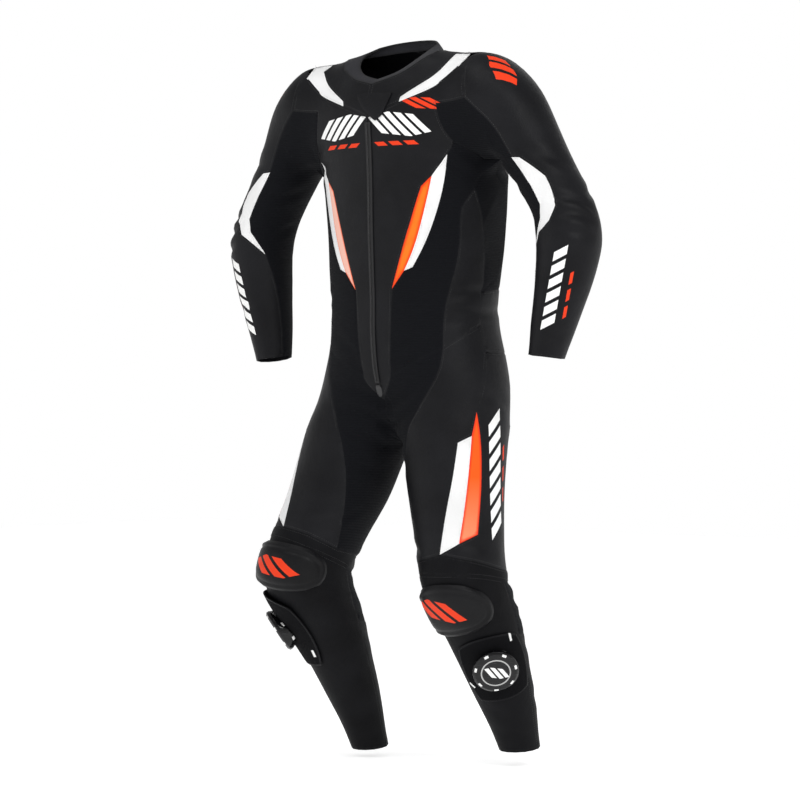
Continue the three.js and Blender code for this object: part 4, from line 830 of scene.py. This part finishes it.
def repeat_group(name):
    """Nodes that set copies of an object on lines: inputs are the copy, material and step."""
    group = bpy.data.node_groups.new(name, "GeometryNodeTree")
    for label, kind, way in (
        ("Lines", "NodeSocketGeometry", "INPUT"),
        ("Copy", "NodeSocketObject", "INPUT"),
        ("Material", "NodeSocketMaterial", "INPUT"),
        ("Step", "NodeSocketFloat", "INPUT"),
        ("Pieces", "NodeSocketGeometry", "OUTPUT"),
    ):
        group.interface.new_socket(label, in_out=way, socket_type=kind)
    start = group.nodes.new("NodeGroupInput")
    curve = group.nodes.new("GeometryNodeMeshToCurve")
    steps = group.nodes.new("GeometryNodeResampleCurve")
    steps.mode = "LENGTH"
    tangent = group.nodes.new("GeometryNodeInputTangent")
    align = group.nodes.new("FunctionNodeAlignRotationToVector")
    align.axis = "X"
    copy = group.nodes.new("GeometryNodeObjectInfo")
    place = group.nodes.new("GeometryNodeInstanceOnPoints")
    real = group.nodes.new("GeometryNodeRealizeInstances")
    paint = group.nodes.new("GeometryNodeSetMaterial")
    end = group.nodes.new("NodeGroupOutput")
    link = group.links.new
    link(start.outputs["Lines"], curve.inputs["Mesh"])
    link(curve.outputs["Curve"], steps.inputs["Curve"])
    link(start.outputs["Step"], steps.inputs["Length"])
    link(steps.outputs["Curve"], place.inputs["Points"])
    link(start.outputs["Copy"], copy.inputs["Object"])
    link(copy.outputs["Geometry"], place.inputs["Instance"])
    link(tangent.outputs["Tangent"], align.inputs["Vector"])
    link(align.outputs["Rotation"], place.inputs["Rotation"])
    link(place.outputs["Instances"], real.inputs["Geometry"])
    link(real.outputs["Geometry"], paint.inputs["Geometry"])
    link(start.outputs["Material"], paint.inputs["Material"])
    link(paint.outputs["Geometry"], end.inputs["Pieces"])
    return group


repeats = repeat_group("stitch_rows")


def seam_lines(nodes, inside, lift):
    """Lines that follow the panels' edges, a set way inside them and just over the cloth."""
    verts, edges = [], []
    for node in nodes:
        co, normal, border = made_pieces[node]
        rim_tree = tree_of(co[i] for i in sorted({i for key in border for i in key}))
        face_tree = tree_of(co)
        before = {b: a for a, b in border}
        after = dict(border)
        moved = {}
        for i in sorted(before.keys() & after.keys()):
            into = np.cross(normal[i], co[after[i]] - co[before[i]])
            size = np.linalg.norm(into)
            if size < 1e-9:
                continue
            point = co[i] + into * inside / size
            _, j, _ = face_tree.find(point)
            point = point - normal[j] * np.dot(point - co[j], normal[j])
            if rim_tree.find(point)[2] < inside * 0.8:
                continue
            moved[i] = len(verts)
            verts.append(point + normal[j] * lift)
        edges += [(moved[a], moved[b]) for a, b in border if a in moved and b in moved]
    mesh = bpy.data.meshes.new("lines")
    mesh.from_pydata([tuple(v) for v in verts], edges, [])
    return mesh


def repeat_along(name, mesh, copy, material, step):
    """A piece made of copies of an object set along a mesh's lines."""
    obj = bpy.data.objects.new(name, mesh)
    bpy.context.scene.collection.objects.link(obj)
    nodes = obj.modifiers.new("repeat", "NODES")
    nodes.node_group = repeats
    values = {"Copy": copy, "Material": material, "Step": step}
    for item in repeats.interface.items_tree:
        if item.in_out == "INPUT" and item.name in values:
            nodes[item.identifier] = values[item.name]
    solid = evaluated(obj, name)
    obj.modifiers.clear()
    obj.data = solid
    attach(obj, "root")
    return obj


thread_dark = thread("dark_thread", rgb(0.012, 0.012, 0.013), rgb(0.032, 0.032, 0.034))
thread_light = thread("light_thread", rgb(0.45, 0.45, 0.44), rgb(0.7, 0.7, 0.68))
dark_panels = (
    "front_leather", "yoke", "flank_leather", "hip_side", "seat", "sleeve_outer",
    "thigh_front", "thigh_side", "thigh_back", "knee_band", "shin", "calf",
)
dark_nodes = [name + "_" + side for name in dark_panels for side in "LR"] + ["back_upper"]
half_dark = len(dark_nodes) // 2
stitch_step, stitch_lift = 0.005, 0.0001
for part, nodes in enumerate((dark_nodes[:half_dark], dark_nodes[half_dark:])):
    lines = seam_lines(nodes, 0.004, stitch_lift)
    repeat_along(
        f"stitches_dark_{part}", lines, stitch_mesh(thread_dark), thread_dark, stitch_step
    )
light_panels = ("shoulder_stripe", "torso_white", "elbow_stripe", "thigh_white")
light_nodes = [name + "_" + side for name in light_panels for side in "LR"]
lines = seam_lines(light_nodes, 0.003, stitch_lift)
repeat_along(
    "stitches_light", lines, stitch_mesh(thread_light), thread_light, stitch_step
)

# Front zip
# A coarse moulded zip in a black tape, sewn between the two front panels and shut to the
# throat; the tab at its foot is rubber.
tape = Shade("zip_tape")
tape_weave = tape.noise(1.0, 2.0, tape.stretched((2400.0, 2400.0, 1200.0)))
tape_color = tape.mix(rgb(0.003, 0.003, 0.0035), rgb(0.009, 0.009, 0.01), tape_weave)
zip_tape = tape.finish(tape_color, 0.7 + 0.1 * tape_weave, tape.bump(tape_weave, 0.0003))
cloth("front_zip", zip_tape, wall=0.0016, creased=False, roll=0.0006)
teeth = Shade("zip_teeth")
teeth_worn = teeth.noise(500.0, 3.0)
teeth_color = teeth.mix(
    rgb(0.012, 0.012, 0.013), rgb(0.06, 0.06, 0.062), teeth_worn.held(0.45, 0.75)
)
zip_teeth = teeth.finish(teeth_color, 0.3 + 0.2 * teeth_worn, teeth.bump(teeth_worn, 0.0002))


def tooth_mesh(material):
    """One tooth across the zip, 5.4 mm wide, 1.5 mm long and 1.2 mm high, its edges cut off."""
    form = bmesh.new()
    bmesh.ops.create_cube(form, size=1.0)
    for vert in form.verts:
        vert.co.x *= 0.0015
        vert.co.y *= 0.0054
        vert.co.z *= 0.0012
    bmesh.ops.bevel(form, geom=form.edges[:], offset=0.0003, segments=1, affect="EDGES")
    mesh = bpy.data.meshes.new("tooth")
    form.to_mesh(mesh)
    form.free()
    mesh.materials.append(material)
    return bpy.data.objects.new("tooth", mesh)


zip_co = made_pieces["front_zip"][0]
line_points = 60
zip_steps = np.linspace(zip_co[:, 2].max() - 0.004, zip_co[:, 2].min() + 0.004, line_points)
middle_line = []
for z in zip_steps:
    nearest = np.argmin(np.abs(zip_co[:, 0]) * 4 + np.abs(zip_co[:, 2] - z))
    middle_line.append((0.0, zip_co[nearest, 1] - 0.0005, float(z)))
teeth_line = bpy.data.meshes.new("teeth_line")
teeth_line.from_pydata(middle_line, [(i, i + 1) for i in range(line_points - 1)], [])
repeat_along("zip_teeth", teeth_line, tooth_mesh(zip_teeth), zip_teeth, 0.0026)
rubber = Shade("zip_rubber")
rubber_spots = rubber.noise(700.0, 4.0)
rubber_color = rubber.mix(rgb(0.01, 0.01, 0.011), rgb(0.024, 0.024, 0.026), rubber_spots)
rubber_bump = rubber.bump(rubber_spots, 0.0002)
rubber_tab = rubber.finish(rubber_color, 0.4 + 0.2 * rubber_spots, rubber_bump)
cloth("zip_tab", rubber_tab, wall=0.003, creased=False, roll=0.001)

# Knee pads
# Moulded pads faced with leather over foam, with a raised rim, under which the shin starts.
def pad_shape(edge):
    """A raised rim and the groove inside it."""
    rim = 0.0022 * np.exp(-(((edge - 0.009) / 0.0032) ** 2))
    groove = -0.0012 * np.exp(-(((edge - 0.0155) / 0.0028) ** 2))
    return rim + groove


for side, sign in (("L", 1), ("R", -1)):
    low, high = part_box("knee_pad_" + side)
    middle = (low + high) / 2
    pad_leather = leather(
        "pad_leather_" + side,
        rgb(0.0046, 0.0046, 0.0052),
        rgb(0.0078, 0.0078, 0.0088),
        rgb(0.028, 0.028, 0.029),
        prints=[
            ((middle.x, low.y, middle.z), (1.0, 0.15 * sign, 0.1), (0.0, 0.0, 1.0),
             (0.090, 0.046, 0.12), 3, 0.5, 0.4, RED_PAINT),
        ],
        gloss=0.34,
        shine=0.12,
    )
    pad = cloth(
        "knee_pad_" + side, pad_leather, wall=0.003, shape=pad_shape, creased=False, roll=0.0012
    )

# Hook-and-loop patches
# A field of loop cloth on each shin that the slider grips, bound round with tape.
loops = Shade("loop_cloth")
loop_fuzz = loops.noise(1800.0, 4.0)
loop_color = loops.mix(rgb(0.0015, 0.0015, 0.002), rgb(0.006, 0.006, 0.007), loop_fuzz)
binding = 1.0 - loops.near_seam().held(0.30, 0.36)
loop_color = loops.mix(loop_color, rgb(0.006, 0.006, 0.007), binding)
for at, along, up, size in (
    ((0.216, 0.024, -1.117), (0.1, 0.35, -0.93), (0.55, 0.78, 0.35), (0.030, 0.005, 0.05)),
    ((0.128, 0.023, -1.216), (0.6, 0.3, -0.6), (0.6, 0.1, 0.7), (0.022, 0.004, 0.05)),
    ((-0.198, -0.081, -1.165), (0.1, 0.2, -0.97), (0.9, 0.3, 0.1), (0.024, 0.006, 0.05)),
    ((-0.236, -0.187, -1.030), (0.3, 0.3, -0.9), (0.9, -0.2, 0.2), (0.018, 0.009, 0.05)),
):
    loop_color = loops.mix(loop_color, WHITE_PAINT, bars(loops, at, along, up, size, 1, 0.0))
loop_cloth = loops.finish(
    loop_color,
    0.92 - 0.5 * binding,
    loops.bump(loop_fuzz, 0.0009),
    {"Sheen Weight": 0.01, "Specular IOR Level": 0.06},
)


def bound_edge(edge):
    """The tape bound round a patch stands a little higher."""
    return 0.0007 * np.exp(-((edge / 0.004) ** 4))


for side in "LR":
    cloth("slider_patch_" + side, loop_cloth, wall=0.0022, shape=bound_edge, creased=False)

# Knee sliders
# Turned and moulded pucks of hard plastic that hold on by the hook side under them; they are
# glossy, scuffed by the road, and marked with short white bars.
ring_radius, dash_radius, dash_count = 0.0285, 0.0405, 7
for side in "LR":
    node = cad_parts["knee_slider_" + side]
    form = bmesh.new()
    form.from_mesh(node.data)
    bmesh.ops.remove_doubles(form, verts=form.verts, dist=2e-5)
    bmesh.ops.recalc_face_normals(form, faces=form.faces)
    bmesh.ops.join_triangles(
        form, faces=form.faces, angle_face_threshold=0.5, angle_shape_threshold=1.2
    )
    crease = form.edges.layers.float.new("crease_edge")
    for edge in form.edges:
        if edge.calc_face_angle(0) > 0.45:
            edge[crease] = 0.45
    base = bpy.data.meshes.new("slider_base")
    form.to_mesh(base)
    # The puck's axis is the way its outer face looks
    outward = camera_away if side == "L" else Vector((-0.6, -0.8, 0))
    seen_from = Vector((0, -0.6, -0.2)) + outward * 0.4
    facing = [f for f in form.faces if f.normal.dot(seen_from) > 0.6]
    axis = sum((f.normal * f.calc_area() for f in facing), Vector()).normalized()
    centre = sum((v.co for v in form.verts), Vector()) / len(form.verts)
    form.free()
    slider = Shade("slider_plastic_" + side)
    place = slider.from_point(centre)
    first = axis.cross(Vector((0, 0, 1))).normalized()
    second = axis.cross(first)
    u = slider.along(place, first)
    v = slider.along(place, second)
    away = slider.node("ShaderNodeMath", {"operation": "SQRT"}, [u * u + v * v])
    angle = slider.node("ShaderNodeMath", {"operation": "ARCTAN2"}, [v, u])
    ring = abs(away - ring_radius).below(0.0013)
    turn = (angle * (dash_count / (2 * math.pi)) + 0.3).part()
    dashes = turn.below(0.24) * abs(away - dash_radius).below(0.0022)
    inner_bars = bars(slider, centre, first, second, (0.040, 0.026, 0.2), 3, 0.5, 0.3)
    scuffs = slider.noise(1.0, 4.0, slider.stretched((60.0, 60.0, 900.0))).held(0.58, 0.72)
    plastic = slider.mix(rgb(0.003, 0.003, 0.0035), rgb(0.02, 0.02, 0.022), scuffs)
    marks = slider.node("ShaderNodeMath", {"operation": "MAXIMUM"}, [dashes, inner_bars])
    marks = slider.node("ShaderNodeMath", {"operation": "MAXIMUM"}, [marks, ring * 0.5])
    plastic = slider.mix(plastic, WHITE_PAINT, marks)
    gloss = slider.finish(
        plastic,
        0.12 + 0.35 * scuffs,
        slider.bump(scuffs, 0.0002),
        {"Coat Weight": 0.1, "Specular IOR Level": 0.25},
    )
    obj = bpy.data.objects.new("suit_knee_slider_" + side, base)
    bpy.context.scene.collection.objects.link(obj)
    smooth = obj.modifiers.new("smooth", "SUBSURF")
    smooth.levels = smooth.render_levels = 3
    puck = evaluated(obj, "knee_slider_" + side)
    obj.modifiers.clear()
    obj.data = puck
    bpy.data.meshes.remove(base)
    puck.materials.clear()
    puck.materials.append(gloss)
    puck.shade_smooth()
    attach(obj, "root")
    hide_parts("knee_slider_" + side)

# Floor, light and backdrop
# A plain pale floor under the suit, a pale surround and four soft lamps.
floor_mesh = bpy.data.meshes.new("floor")
floor_reach, floor_height = 9, -1.385
floor_corners = [
    (x * floor_reach, y * floor_reach, floor_height)
    for x, y in ((-1, -1), (1, -1), (1, 1), (-1, 1))
]
floor_mesh.from_pydata(floor_corners, [], [(0, 1, 2, 3)])
floor = bpy.data.objects.new("floor", floor_mesh)
bpy.context.scene.collection.objects.link(floor)
paper = Shade("floor_paper")
paper_tone = paper.mix(rgb(0.88, 0.88, 0.88), rgb(0.92, 0.92, 0.92), paper.noise(3.0))
paper_light = {"Emission Color": rgb(1, 1, 1), "Emission Strength": 0.63}
floor_mesh.materials.append(
    paper.finish(
        paper_tone,
        0.9 + 0.02 * paper.noise(20.0),
        paper.bump(paper.noise(300.0), 0.0001),
        paper_light,
    )
)
world = bpy.data.worlds.new("surround")
bpy.context.scene.world = world
world.use_nodes = True
sky = world.node_tree
sky_way = sky.nodes.new("ShaderNodeTexCoord")
sky_parts = sky.nodes.new("ShaderNodeSeparateXYZ")
sky_level = sky.nodes.new("ShaderNodeMath")
sky_level.operation = "ABSOLUTE"
sky_band = sky.nodes.new("ShaderNodeMapRange")
for k, value in ((1, 0.15), (2, 0.40), (3, 1.0), (4, 0.34)):
    sky_band.inputs[k].default_value = value
sky.links.new(sky_way.outputs["Generated"], sky_parts.inputs[0])
sky.links.new(sky_parts.outputs["Z"], sky_level.inputs[0])
sky.links.new(sky_level.outputs[0], sky_band.inputs[0])
sky.links.new(sky_band.outputs[0], sky.nodes["Background"].inputs["Strength"])
sky.nodes["Background"].inputs["Color"].default_value = (1, 1, 1, 1)
for name, place, size, power in (
    ("key", (3.2, -1.2, 1.5), 1.5, 62),
    ("top", (0.2, -1.6, 2.4), 2.2, 40),
    ("fill", (-2.4, -2.8, 0.2), 1.8, 9),
    ("rim", (-0.8, 2.8, 0.9), 1.6, 5),
):
    lamp = bpy.data.lights.new(name, "AREA")
    lamp.shape = "DISK"
    lamp.size = size
    lamp.energy = power
    lamp_object = bpy.data.objects.new(name, lamp)
    bpy.context.scene.collection.objects.link(lamp_object)
    lamp_object.location = place
    aim = Vector((0, 0, -0.6)) - Vector(place)
    lamp_object.rotation_euler = aim.to_track_quat("-Z", "Y").to_euler()
